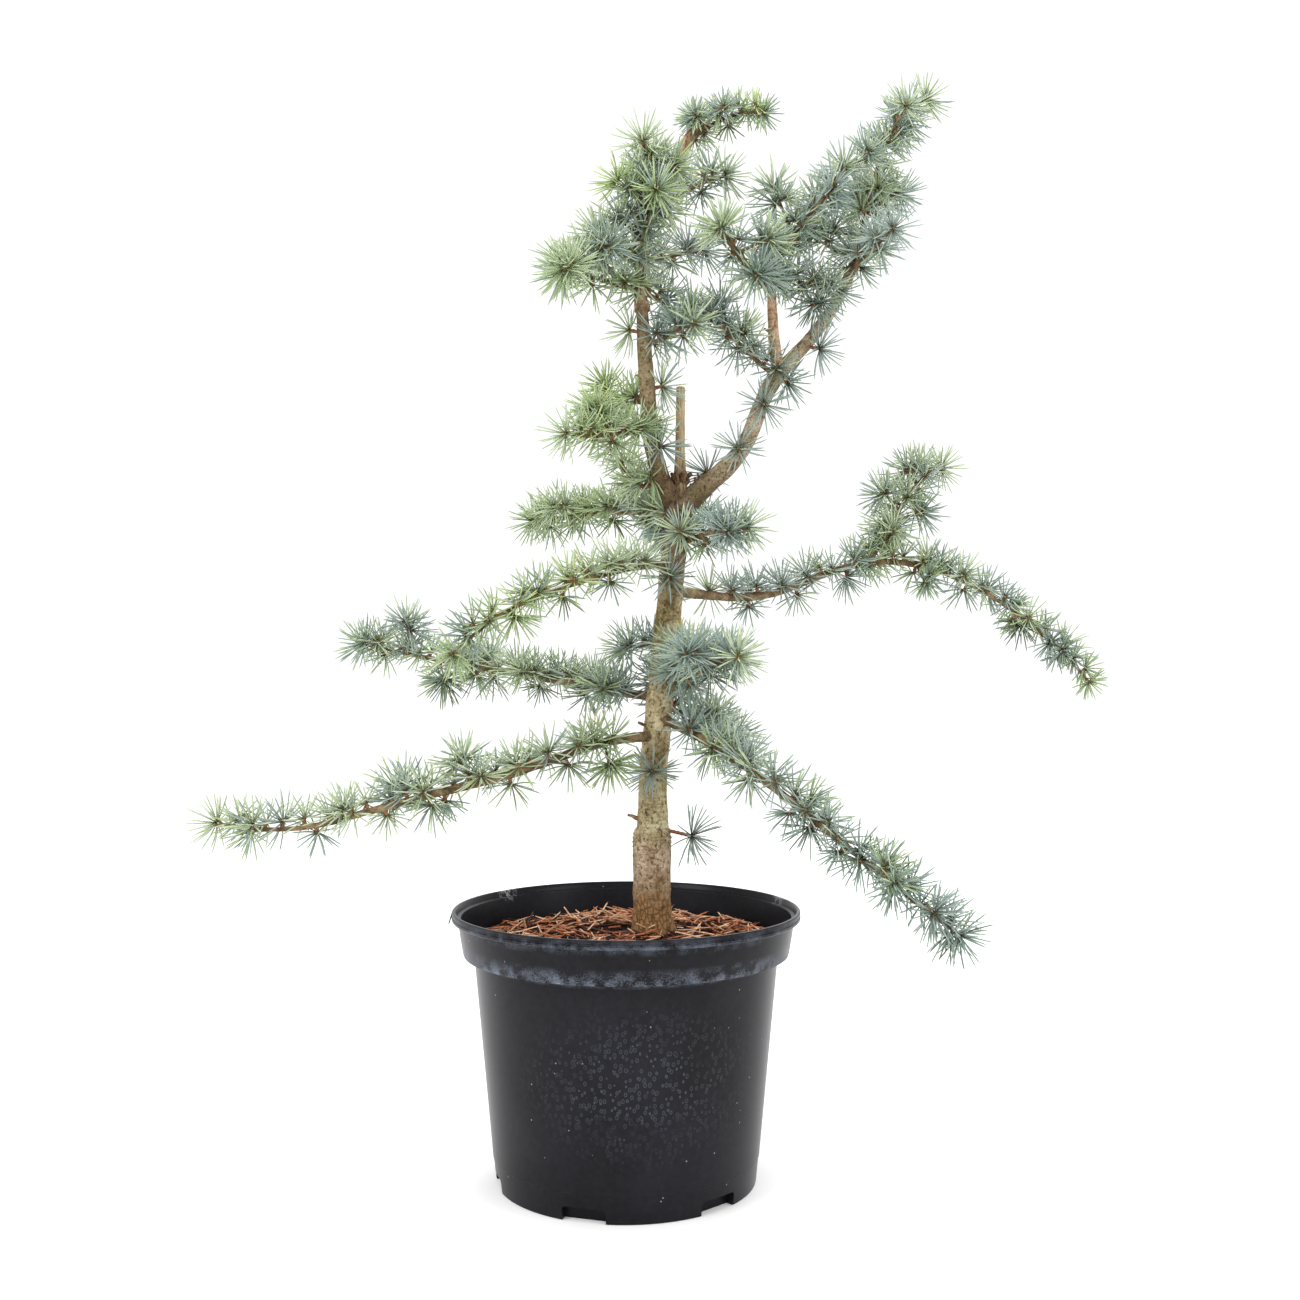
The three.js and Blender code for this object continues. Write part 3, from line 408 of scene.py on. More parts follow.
# How green the needles of a shoot are, from 0 for silver blue to 1 for fresh green, and how greenness and
# lightness vary from rosette to rosette and from needle to needle. Lightness is partly painted light:
# rosettes and leading needles that face up get lighter tints, those that face down darker ones
GREENNESS = {
    "left_cluster": 0.62, "left_cluster_up": 0.68, "left_cluster_low": 0.52, "left_short": 0.48,
    "left_arch": 0.5, "mid_left": 0.3, "low_left": 0.42, "front_right_up": 0.4, "front_right": 0.22,
    "crown_dome": 0.46, "crest_left": 0.5, "crest_low": 0.42, "crown_tip": 0.4, "crown_right_twig": 0.3,
    "cut_limb": 0.25, "inner_shoot": 0.3, "outer_shoot": 0.25, "high_right_up": 0.3, "high_right_out": 0.35,
}
PLAIN_GREENNESS = 0.2
TUFT_GREENNESS = 0.2
TUFT_STALK = 12.0
TIP_GREENER = 0.08
END_GREENER = 0.06
ROSETTE_GREEN_SPREAD = 0.16
# Painted light: a rosette's lightness grows with how far its axis points up, plus a random spread
ROSETTE_PAINTED_LIGHT = (0.6, 0.24)
ROSETTE_LIGHT_SPREAD = 0.12
# Painted light for the single needles of a leading end, by how far each points up
END_PAINTED_LIGHT = (0.55, 0.2)
NEEDLE_GREEN_SPREAD = 0.06
NEEDLE_LIGHT_SPREAD = 0.08

# Needle tints: base colour, how green it is and how light it is. The light and dark tints of a hue are lit
# and shaded copies of it, dealt out by painted light
TINTS = {
    "silver": ((168, 182, 175), 0.0, 1.0),
    "glaucous": ((149, 165, 156), 0.05, 0.72),
    "sea_green": ((133, 151, 138), 0.2, 0.45),
    "shadow_blue": ((94, 104, 86), 0.1, 0.1),
    "sage": ((178, 192, 158), 0.5, 0.8),
    "leaf_green": ((154, 173, 128), 0.6, 0.45),
    "fresh_green": ((178, 195, 136), 0.9, 0.85),
    "shaded_deep_green": ((110, 122, 80), 0.7, 0.1),
    "straw": ((206, 192, 142), 0.95, 1.35),
}

# How a needle's tint is darker at its root, as painted shade in the crowded middle of a rosette, up to where,
# and paler at its point
NEEDLE_ROOT_SHADE = (0.8, 0.76, 0.62)
NEEDLE_ROOT_SHADE_END = 0.28
NEEDLE_POINT = 1.03

# Side twigs that a shoot bears beyond those of the solids, and how long they are
FINE_TWIGS = {
    "high_right_up": 2, "high_right_out": 3, "left_short": 4, "mid_left": 4, "outer_shoot": 4,
    "inner_shoot": 3, "crest_left": 4, "crown_dome": 5, "crown_tip": 2, "low_right": 3, "front_right": 2,
    "right_short": 2,
}
FINE_TWIG_LENGTH = (14, 24)

UP = np.array([0.0, 0.0, 1.0])
LEVEL_LIMIT = 0.05


# Seeded random numbers between 0 and 1, the same ones as in the part's source
def dice(seed):
    state = seed

    def throw():
        nonlocal state
        state = (state + 0x6D2B79F5) & 0xFFFFFFFF
        value = ((state ^ (state >> 15)) * (state | 1)) & 0xFFFFFFFF
        value ^= (value + ((value ^ (value >> 7)) * (value | 61))) & 0xFFFFFFFF
        return ((value ^ (value >> 14)) & 0xFFFFFFFF) / 4294967296

    return throw


def seed_of(name):
    seed = 7
    for letter in name:
        seed = (seed * 31 + ord(letter)) & 0xFFFFFFFF
    return seed


def between(pair, fraction):
    return pair[0] + (pair[1] - pair[0]) * fraction


def mix(values, fraction):
    return np.interp(fraction, np.linspace(0, 1, len(values)), values)


def heading(bearing, rise):
    turn = np.radians(bearing)
    lift = np.radians(rise)
    return np.stack([np.cos(turn) * np.cos(lift), np.sin(turn) * np.cos(lift), np.sin(lift)], axis=-1)


def unit(vectors):
    return vectors / np.linalg.norm(vectors, axis=-1, keepdims=True)


# A course is the middle line of a limb, stepped out from its foot.
class Course:
    def __init__(self, foot, length, bearings, rises):
        along = (np.arange(COURSE_STEPS) + 0.5) / COURSE_STEPS
        ways = heading(mix(bearings, along), mix(rises, along))
        self.points = np.vstack([foot, foot + np.cumsum(ways * (length / COURSE_STEPS), axis=0)])
        self.length = length

    def spot(self, station):
        place = station / self.length * COURSE_STEPS
        step = int(min(max(math.floor(place), 0), COURSE_STEPS - 1))
        way = self.points[step + 1] - self.points[step]
        return self.points[step] + way * (place - step), unit(way)


def sides_of(way):
    level = np.cross(way, UP)
    if np.linalg.norm(level) < LEVEL_LIMIT:
        level = np.array([1.0, 0.0, 0.0]) - way * way[0]
    level = unit(level)
    return level, np.cross(level, way)


# Bearing and rise of a way
def pointing(way):
    return math.degrees(math.atan2(way[1], way[0])), math.degrees(math.asin(max(-1.0, min(1.0, way[2]))))


# A course with one bearing, which may droop towards its tip
def straight(foot, length, bearing, rise, droop=0):
    return Course(foot, length, (bearing, bearing), (rise, rise - droop))


# Meshes from arrays of points and faces
def add_piece(name, points, faces, material, replaced):
    mesh = bpy.data.meshes.new(name)
    sizes = np.concatenate([np.full(len(group), group.shape[1]) for group in faces])
    corners = np.concatenate([group.ravel() for group in faces])
    mesh.vertices.add(len(points))
    mesh.vertices.foreach_set("co", (np.asarray(points) * MM).astype(np.float32).ravel())
    mesh.loops.add(len(corners))
    mesh.loops.foreach_set("vertex_index", corners.astype(np.int32))
    mesh.polygons.add(len(sizes))
    mesh.polygons.foreach_set("loop_start", np.concatenate([[0], np.cumsum(sizes)[:-1]]).astype(np.int32))
    mesh.polygons.foreach_set("use_smooth", np.ones(len(sizes), dtype=bool))
    mesh.update(calc_edges=True)
    mesh.materials.append(material)
    piece = bpy.data.objects.new(name, mesh)
    bpy.context.scene.collection.objects.link(piece)
    return hand_in(piece, replaced)


def hand_in(piece, replaced):
    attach(piece, "root")
    if replaced:
        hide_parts(*sorted(replaced))
    return piece


# Parts of one mesh, gathered before they are made
class Gathered:
    def __init__(self):
        self.points = []
        self.faces = {3: [], 4: []}
        self.along = []
        self.count = 0

    def add(self, points, *groups, along=None):
        for group in groups:
            self.faces[group.shape[1]].append(group + self.count)
        self.points.append(points)
        self.along.append(np.zeros(len(points)) if along is None else along)
        self.count += len(points)

    def made(self, name, material, slot, replaced=()):
        faces = [np.concatenate(group) for group in self.faces.values() if group]
        piece = add_piece(name, np.concatenate(self.points), faces, material, replaced)
        layer = piece.data.attributes.new("along", "FLOAT", "POINT")
        layer.data.foreach_set("value", np.concatenate(self.along).astype(np.float32))
        return piece


# Limbs
def ring_frames(path, stations):
    spots = [path.spot(station) for station in stations]
    points = np.array([point for point, _ in spots])
    across = sides_of(spots[0][1])[0]
    acrosses = []
    fronts = []
    for _, way in spots:
        across = unit(across - way * np.dot(way, across))
        acrosses.append(across)
        fronts.append(np.cross(across, way))
    return points, np.array(acrosses), np.array(fronts)


# A closed tapering sleeve along a course. relief(skin, stations, turns) is added to its radius.
def sleeve(gathered, path, start, stop, mesh, radius_at, relief=None):
    step, sides = mesh
    rings = max(2, round((stop - start) / step) + 1)
    stations = np.linspace(start, stop, rings)
    centres, across, front = ring_frames(path, stations)
    turns = np.arange(sides) * 2 * math.pi / sides
    outward = across[:, None] * np.cos(turns)[:, None] + front[:, None] * np.sin(turns)[:, None]
    radii = np.repeat(np.array([radius_at(station) for station in stations])[:, None], sides, axis=1)
    if relief:
        skin = centres[:, None] + outward * radii[..., None]
        radii = radii + relief(skin, stations, turns)
    points = (centres[:, None] + outward * radii[..., None]).reshape(-1, 3)
    first = np.arange(sides)
    after = (first + 1) % sides
    lower = np.arange(rings - 1)[:, None] * sides
    near = (lower + first).ravel()
    beside = (lower + after).ravel()
    walls = np.stack([near, near + sides, beside + sides, beside], axis=1)
    last = (rings - 1) * sides
    foot_fan = np.stack([first, after, np.full(sides, rings * sides)], axis=1)
    tip_fan = np.stack([after + last, first + last, np.full(sides, rings * sides + 1)], axis=1)
    points = np.vstack([points, centres[0], centres[-1]])
    gathered.add(points, walls, foot_fan, tip_fan)


def noise_over(points, size, offset=0.0):
    flat = points.reshape(-1, 3) / size + offset
    values = [noise.noise(Vector(point)) for point in flat]
    return np.array(values).reshape(points.shape[:-1])


# Furrows between plates of bark, deepest where two plates meet
def furrows(points):
    width, height = PLATE
    flat = points.reshape(-1, 3) / np.array([width, width, height])
    near = [noise.voronoi(Vector(point))[0] for point in flat]
    gaps = np.array([distances[1] - distances[0] for distances in near])
    return -np.exp(-gaps * FURROW_SHARPNESS).reshape(points.shape[:-1])


def bark_relief(plates, lumps, grain):
    def relief(skin, stations, turns):
        return (plates * furrows(skin) + lumps * noise_over(skin, LUMP)
                + grain * noise_over(skin, GRAIN, GRAIN_SHIFT))
    return relief


def trunk_relief(skin, stations, turns):
    bark = bark_relief(*TRUNK_RELIEF)(skin, stations, turns)
    depth, size, offset = UNION_RAGGED
    height = skin[..., 2] + depth * noise_over(skin, size, offset)
    union = np.exp(-((height - UNION_HEIGHT) / UNION_SPREAD) ** 2)
    wrinkles = WRINKLE_DEPTH * union * np.sin(height * 2 * math.pi / WRINKLE_PITCH)
    flare = np.exp(-stations / FLARE_HEIGHT)[:, None] * FLARE_REACH
    lobes = np.ones(len(turns))
    for number, depth, turn in LOBES:
        lobes = lobes + depth * np.sin(number * turns + turn)
    past = stations - UNION_STATION
    above = np.clip(past / STEP_WIDTH, 0, 1) * np.exp(-np.clip(past, 0, None) / STEP_FADE)
    bulge = BULGE * np.exp(-((past + BULGE_BELOW) / BULGE_SPREAD) ** 2)
    left = LEFT_SHARES[0] - LEFT_SHARES[1] * np.sin(turns)
    step = (bulge - UNION_STEP * above)[:, None] * left
    return bark + wrinkles + flare * lobes + step


# The radius along a limb, with a collar at its foot that fades out
def limb_radius(girths, length, collar):
    def radius_at(station):
        swelling = collar * math.exp(-max(station, 0) / LIMB_COLLAR_FADE)
        return mix(girths, station / length) / 2 * (1 + swelling)
    return radius_at


def make_limbs(courses, finishes):
    wood = []
    for limb in LIMBS:
        name = limb["name"]
        trunk = name == "trunk"
        radius_at = limb_radius(limb["girths"], limb["length"], 0 if trunk else LIMB_COLLAR)
        thick = limb["girths"][0]
        relief = trunk_relief if trunk else bark_relief(LIMB_PLATES * thick, LIMB_LUMPS * thick, LIMB_GRAIN)
        mesh = TRUNK_MESH if trunk else LIMB_MESH
        gathered = Gathered()
        sleeve(gathered, courses[name], -FOOT_SUNK, limb["length"], mesh, radius_at, relief)
        slot = "dead_wood" if name == "dead_stub" else "bark"
        gathered.made(f"{name}_bark", finishes[LIMB_FINISHES.get(name, "limb_bark")], slot, [name])
        wood.append((courses[name], limb["length"], radius_at))
    return wood


# The teeth of torn bark round the dead stub, as rows like those of the snags
def torn_bark():
    throw = dice(seed_of("torn bark"))
    least, more = TORN_LENGTHS
    teeth = []
    for ring, number, length, girth in TORN_RINGS:
        for index in range(number):
            bearing = 360 * (index + TORN_TURN * throw()) / number
            rise = between(TORN_RISE, throw())
            station = ring + TORN_SHIFT * throw()
            teeth.append(("dead_stub", station, bearing, rise, length * (least + more * throw()), girth))
    return teeth


# Broken twigs and knobs, each the outer half of a short straight sleeve
def make_snags(courses, finishes):
    snags = Gathered()
    for limb, station, bearing, rise, length, girth in SNAGS + torn_bark():
        path = straight(courses[limb].spot(station)[0], length, bearing, rise)
        radius_at = limb_radius([girth * share for share in SNAG_TAPER], length, 0)
        sleeve(snags, path, length / 2, length, SNAG_MESH, radius_at, bark_relief(*SNAG_RELIEF))
    snags.made("snags", finishes["snag_bark"], "bark")


# The faces of cuts as shallow discs a little proud of the wood
def make_cut_faces(courses, finishes):
    faces = Gathered()
    for limb in LIMBS + SHOOTS:
        if limb["name"] in CUT_TIPS:
            radius_at = limb_radius([limb["girths"][-1] * share for share in CUT_TAPER], CUT_DEPTH, 0)
            point, way = courses[limb["name"]].spot(limb["length"])
            path = straight(point - way * CUT_PROUD, CUT_DEPTH, *pointing(way))
            sleeve(faces, path, 0, CUT_DEPTH, CUT_MESH, radius_at, bark_relief(*CUT_RELIEF))
    faces.made("cut_faces", finishes["cut_wood"], "dead_wood")


# Points along the middle of all wood with their radii, to keep needles out of it
def wood_samples(wood):
    centres = []
    radii = []
    for path, length, radius_at in wood:
        for station in np.arange(0, length, WOOD_SAMPLE):
            centres.append(path.spot(station)[0])
            radii.append(radius_at(station))
    return np.array(centres), np.array(radii)


# Side twigs leave a stem left and right in turn, by the source's rule.
def twig_courses(path, start, count, sprigs, throw, lengths=TWIG_LENGTH):
    courses = [straight(path.spot(at)[0], length, bearing, rise, TWIG_DROOP)
               for at, bearing, rise, length in sprigs]
    for index in range(count):
        jitter = between(TWIG_JITTER, throw())
        point, way = path.spot(start + (index + jitter) / count * (path.length - start))
        level, upright = sides_of(way)
        side = 1 if index % 2 == 0 else -1
        out = unit(level * side + upright * TWIG_LIFT)
        spread = math.radians(between(TWIG_SPREAD, throw()))
        bearing, rise = pointing(way * math.cos(spread) + out * math.sin(spread))
        courses.append(straight(point, between(lengths, throw()), bearing, rise, TWIG_DROOP))
    return courses


# Spurs go round a stem by the golden turn, more of them on its upper side than below. Each is its centre,
# its foot, its axis and how far along the stem it stands.
def spur_places(path, start, radius_at, every, throw):
    count = max(1, math.floor((path.length - start) / every + 0.5))
    places = []
    for index in range(count):
        jitter = between(SPUR_JITTER, throw())
        station = start + (index + jitter) / count * (path.length - start)
        point, way = path.spot(station)
        level, upright = sides_of(way)
        around = (index * GOLDEN_TURN + ROLL_JITTER * throw()) % 360 - 180
        drop = 180 if index % LOW_SPUR == LOW_SPUR - 1 else 0
        roll = math.radians(around * (1 - UPWARD * math.hypot(way[0], way[1])) + drop)
        out = upright * math.cos(roll) + level * math.sin(roll)
        centre = point + out * (radius_at(station) + SPUR_RISE)
        foot = point + out * radius_at(station) * SPUR_FOOT
        places.append((centre, foot, unit(out + way * SPUR_LEAN), station / path.length))
    return places


# All rosettes, needles and spurs of the tree, gathered by tint
class Foliage:
    def __init__(self, wood):
        self.centres, self.radii = wood_samples(wood)
        self.tints = {name: [] for name in TINTS}
        self.owners = {name: set() for name in TINTS}
        self.spurs = []
        self.rosettes = []

    # Whether needles stay out of the wood
    def clear(self, points):
        near = np.linalg.norm(self.centres - points[0, 0], axis=1) < NEEDLE_NEAR + self.radii
        centres = self.centres[near]
        radii = self.radii[near]
        if not len(centres):
            return np.ones(len(points), dtype=bool)
        gaps = np.linalg.norm(points[:, :, None] - centres, axis=3) - radii
        return gaps.min(axis=(1, 2)) > GAP

    # Needles in one bunch: roots, ways, lengths and how far each bends towards `axis`
    def bunch(self, owner, roots, ways, lengths, axis, greenness, tone_and_painted_light, rng):
        bends = axis - ways * (ways @ axis)[:, None]
        bends = bends * (lengths * rng.uniform(*NEEDLE_BEND, len(lengths)))[:, None]
        points = (roots[:, None] + ways[:, None] * lengths[:, None, None] * NEEDLE_TESTS[:, None]
                  + bends[:, None] * (NEEDLE_TESTS ** 2)[:, None])
        kept = self.clear(points)
        wanted = np.array([[green, light] for _, green, light in TINTS.values()])
        shade = np.stack([greenness + rng.normal(0, NEEDLE_GREEN_SPREAD, len(roots)),
                          tone_and_painted_light + rng.normal(0, NEEDLE_LIGHT_SPREAD, len(roots))], axis=1)
        nearest = np.linalg.norm(shade[:, None] - wanted, axis=2).argmin(axis=1)
        for index, name in enumerate(TINTS):
            chosen = kept & (nearest == index)
            if chosen.any():
                self.tints[name].append((roots[chosen], ways[chosen], lengths[chosen], bends[chosen]))
                self.owners[name].add(owner)

    def rosette(self, owner, centre, foot, axis, count, reach, greenness, rng):
        across, front = sides_of(axis)
        order = (np.arange(count) + 0.5) / count
        opening = np.radians(OPENING[0] + OPENING[1] * np.sqrt(order) + rng.normal(0, OPENING_JITTER, count))
        start = rng.uniform(0, FULL_TURN)
        turns = np.radians(GOLDEN_TURN) * np.arange(count) + start + rng.normal(0, TURN_JITTER, count)
        side = across * np.cos(turns)[:, None] + front * np.sin(turns)[:, None]
        ways = unit(axis * np.cos(opening)[:, None] + side * np.sin(opening)[:, None])
        roots = centre + side * ROOT_ROUND * np.sin(opening)[:, None] - axis * ROOT_BEHIND * order[:, None]
        lengths = reach * rng.uniform(*REACH, count) * (1 - OUTER_SHORTER * order)
        # Painted light: a rosette facing up gets lighter tints, one facing down darker, shaded ones
        tone_and_painted_light = ROSETTE_PAINTED_LIGHT[0] + ROSETTE_PAINTED_LIGHT[1] * axis[2] + rng.normal(0, ROSETTE_LIGHT_SPREAD)
        greenness = greenness + rng.normal(0, ROSETTE_GREEN_SPREAD)
        self.bunch(owner, roots, ways, lengths, axis, greenness, tone_and_painted_light, rng)
        self.spurs.append((foot, centre, axis))
        self.rosettes.append(centre)

    def crowded(self, centre, spacing):
        if not self.rosettes:
            return False
        return np.linalg.norm(np.array(self.rosettes) - centre, axis=1).min() < spacing

    # Single needles round the leading end of a shoot
    def leading_end(self, owner, path, radius_at, share, greenness, rng):
        span = min(LEADING_END, path.length * LEADING_SHARE)
        stations = np.arange(path.length - span, path.length, LEADING_STEP)
        for index, station in enumerate(stations):
            point, way = path.spot(station)
            level, upright = sides_of(way)
            roll = math.radians(GOLDEN_TURN * index)
            out = level * math.cos(roll) + upright * math.sin(roll)
            lean = math.radians(rng.uniform(*LEADING_LEAN))
            ways = unit(way * math.cos(lean) + out * math.sin(lean))[None]
            roots = (point + out * radius_at(station) * SUNK)[None]
            lengths = np.array([rng.uniform(*LEADING_LENGTH)]) * share
            # Painted light: a needle pointing up gets a lighter tint
            tone_and_painted_light = END_PAINTED_LIGHT[0] + END_PAINTED_LIGHT[1] * out[2]
            self.bunch(owner, roots, ways, lengths, way, greenness, tone_and_painted_light, rng)


# All foliage of the shoots with the bark of their stems and twigs
def grow_foliage(foliage, courses):
    stems = Gathered()
    for shoot in SHOOTS:
        name = shoot["name"]
        owner = f"foliage_{name}"
        rng = np.random.default_rng(seed_of(name))
        path = courses[name]
        start = shoot["bare"] + GAP if shoot["bare"] else 0
        girths = [girth * BOUGH_SHARE for girth in shoot["girths"]]
        radius_at = limb_radius(girths, shoot["length"], LIMB_COLLAR)
        sleeve(stems, path, 0, shoot["length"], SHOOT_MESH, radius_at, bark_relief(*SHOOT_RELIEF))
        twigs = twig_courses(path, start, shoot["twigs"], shoot["sprigs"], dice(seed_of(owner)))
        throw = dice(seed_of(f"{owner} fine"))
        finer = twig_courses(path, start, FINE_TWIGS.get(name, 0), [], throw, FINE_TWIG_LENGTH)
        for twig in twigs + finer:
            sleeve(stems, twig, 0, twig.length, TWIG_MESH, twig_radius, bark_relief(*TWIG_RELIEF))
        runs = [(twig, SPUR_EVERY / 2, twig_radius) for twig in twigs]
        runs.append((path, start, radius_at))
        runs += [(twig, SPUR_EVERY / 4, twig_radius) for twig in finer]
        greenness = GREENNESS.get(name, PLAIN_GREENNESS)
        for index, run in enumerate(runs):
            throw = dice(seed_of(f"{owner} {index}"))
            grow_run(foliage, owner, *run, shoot["needles"], throw, greenness, rng)
    return stems


def twig_radius(station):
    return (TWIG_GIRTH - TWIG_TAPER * station) / 2


# Near the end of a stem the rosettes sweep forward along it.
def swept(axis, path, along):
    sweep = TIP_SWEEP * max(0.0, along - TIP_START) / (1 - TIP_START)
    return unit(axis + path.spot(along * path.length)[1] * sweep)


# The source's rosettes along a stem or twig, then finer ones between them
def grow_run(foliage, owner, path, start, radius_at, needles, throw, greenness, rng):
    for centre, foot, axis, along in spur_places(path, start, radius_at, SPUR_EVERY, throw):
        if not foliage.crowded(centre, MAIN_SPACING):
            axis = swept(axis, path, along)
            count = rng.integers(*MAIN_NEEDLES)
            foliage.rosette(owner, centre, foot, axis, count, mix(needles, along), greenness, rng)
    point, way = path.spot(path.length)
    tip_greenness = greenness + TIP_GREENER
    foliage.rosette(owner, point, point - way * TIP_FOOT, way, TIP_NEEDLES, needles[-1], tip_greenness, rng)
    throw = dice(seed_of(owner))
    for centre, foot, axis, along in spur_places(path, start, radius_at, FINE_SPUR_EVERY, throw):
        if not foliage.crowded(centre, FINE_SPACING):
            axis = swept(axis, path, along)
            reach = mix(needles, along) * rng.uniform(*FINE_REACH)
            foliage.rosette(owner, centre, foot, axis, rng.integers(*FINE_NEEDLES), reach, greenness, rng)
    foliage.leading_end(owner, path, radius_at, needles[-1] / NEEDLE, greenness + END_GREENER, rng)


def grow_tufts(foliage, courses, limbs):
    for name, on, at, bearing, rise, spur, reach in TUFTS:
        limb = limbs[on]
        rng = np.random.default_rng(seed_of(name))
        foot = courses[on].spot(at)[0]
        way = heading(bearing, rise)
        radius = mix(limb["girths"], at / limb["length"]) / 2
        centre = foot + way * (radius + spur)
        root = foot + way * radius * SUNK
        count = STALKED_NEEDLES if spur > TUFT_STALK else TUFT_NEEDLES
        foliage.rosette(f"tuft_{name}", centre, root, way, count, reach, TUFT_GREENNESS, rng)


# Needles as slim three-sided blades that taper to a point
def needle_piece(name, batches, width, material, slot, replaced):
    roots, ways, lengths, bends = (np.concatenate(column) for column in zip(*batches))
    number = len(roots)
    level = np.cross(ways, UP)
    level[np.linalg.norm(level, axis=1) < LEVEL_LIMIT] = (1.0, 0.0, 0.0)
    level = unit(level)
    upright = np.cross(level, ways)
    turns = np.arange(NEEDLE_SIDES) * 2 * math.pi / NEEDLE_SIDES
    ring = level[:, None] * np.cos(turns)[:, None] + upright[:, None] * np.sin(turns)[:, None]
    middle = roots[:, None] + ways[:, None] * lengths[:, None, None] * NEEDLE_BANDS[:, None]
    middle = middle + bends[:, None] * (NEEDLE_BANDS ** 2)[:, None]
    points = middle[:, :, None] + ring[:, None] * (NEEDLE_WIDTHS * width / 2)[:, None, None]
    tips = roots + ways * lengths[:, None] + bends
    tip = len(NEEDLE_BANDS) * NEEDLE_SIDES
    points = np.concatenate([points.reshape(number, tip, 3), tips[:, None]], axis=1)
    side = np.arange(NEEDLE_SIDES)
    after = (side + 1) % NEEDLE_SIDES
    shift = (np.arange(number) * (tip + 1))[:, None, None]
    wall = np.stack([side, side + NEEDLE_SIDES, after + NEEDLE_SIDES, after], axis=1)
    walls = np.concatenate([wall + band * NEEDLE_SIDES for band in range(len(NEEDLE_BANDS) - 1)])
    walls = (walls[None] + shift).reshape(-1, 4)
    last = tip - NEEDLE_SIDES
    ends = np.vstack([np.stack([after + last, side + last, np.full(NEEDLE_SIDES, tip)], axis=1), [[0, 1, 2]]])
    along = np.tile(np.concatenate([np.repeat(NEEDLE_BANDS, NEEDLE_SIDES), [1.0]]), number)
    gathered = Gathered()
    gathered.add(points.reshape(-1, 3), walls, (ends[None] + shift).reshape(-1, 3), along=along)
    return gathered.made(name, material, slot, replaced)


# A spur is a scaly barrel with a bud at its end.
def make_spurs(foliage, material):
    spurs = Gathered()
    for foot, centre, axis in foliage.spurs:
        span = centre - foot
        length = float(np.linalg.norm(span))
        path = straight(foot, length + BUD, *pointing(span / length))
        sleeve(spurs, path, 0, length + BUD, SPUR_MESH, spur_radius(length))
    spurs.made("spurs_and_buds", material, "young_bark")


def spur_radius(length):
    depth, pitch = BARREL_SCALES
    above, below = BUD_SPAN

    def radius_at(station):
        ridge = depth * math.cos(station * 2 * math.pi / pitch)
        taper = math.sqrt(max(0.0, 1 - max(0.0, (station - length + above) / below) ** 2))
        return (BARREL + ridge) * taper

    return radius_at


def select_only(*pieces):
    bpy.ops.object.select_all(action="DESELECT")
    for piece in pieces:
        piece.select_set(True)
    if pieces:
        bpy.context.view_layer.objects.active = pieces[0]


def apply_place(location=False, rotation=False, scale=False):
    bpy.ops.object.transform_apply(location=location, rotation=rotation, scale=scale)


# A closed turned solid: a disc drawn up ring by ring through (radius, height) steps
def turned_solid(name, steps, sides):
    select_only()
    first_radius, first_height = steps[0]
    bpy.ops.mesh.primitive_circle_add(vertices=sides, radius=first_radius * MM, fill_type="NGON",
                                      location=(0, 0, first_height * MM))
    apply_place(location=True)
    bpy.ops.object.mode_set(mode="EDIT")
    bpy.ops.mesh.select_all(action="SELECT")
    for (radius, height), (next_radius, next_height) in zip(steps, steps[1:]):
        climb = (0, 0, (next_height - height) * MM)
        bpy.ops.mesh.extrude_region_move(TRANSFORM_OT_translate={"value": climb})
        widening = next_radius / radius
        bpy.ops.transform.resize(value=(widening, widening, 1), center_override=(0, 0, next_height * MM))
    bpy.ops.mesh.select_all(action="SELECT")
    bpy.ops.mesh.normals_make_consistent(inside=False)
    bpy.ops.object.mode_set(mode="OBJECT")
    solid = bpy.context.object
    solid.name = name
    return solid


# A block with its two upper side edges rounded, from `bottom` up
def rounded_block(width, bottom, top, inner, outer, corner):
    select_only()
    middle = (0, -(inner + outer) / 2 * MM, (bottom + top) / 2 * MM)
    bpy.ops.mesh.primitive_cube_add(size=1, location=middle)
    block = bpy.context.object
    block.scale = (width * MM, (outer - inner) * MM, (top - bottom) * MM)
    apply_place(location=True, scale=True)
    bpy.ops.object.mode_set(mode="EDIT")
    bpy.ops.mesh.select_all(action="DESELECT")
    bpy.ops.object.mode_set(mode="OBJECT")
    for edge in block.data.edges:
        ends = [block.data.vertices[index].co for index in edge.vertices]
        edge.select = all(end.z > middle[2] for end in ends) and abs(ends[0].x - ends[1].x) < TOUCHING
    bpy.ops.object.mode_set(mode="EDIT")
    bpy.ops.mesh.bevel(offset=corner * MM, segments=4, affect="EDGES")
    bpy.ops.object.mode_set(mode="OBJECT")
    return block


# The same block at each notch, joined to one
def notch_blocks(**sizes):
    blocks = []
    for index in range(NOTCH_COUNT):
        block = rounded_block(**sizes)
        block.rotation_euler.z = math.radians(NOTCH_TURN + index * 360 / NOTCH_COUNT)
        apply_place(rotation=True)
        blocks.append(block)
    select_only(*blocks)
    bpy.ops.object.join()
    return blocks[0]


def cut_or_join(piece, tool, operation):
    bpy.context.view_layer.objects.active = piece
    modifier = piece.modifiers.new("shape", "BOOLEAN")
    modifier.operation = operation
    modifier.solver = "EXACT"
    modifier.object = tool
    bpy.ops.object.modifier_apply(modifier=modifier.name)
    bpy.data.objects.remove(tool)


def body_radius(height):
    return FOOT_RADIUS + (BODY_RADIUS - FOOT_RADIUS) * height / COLLAR_BOTTOM


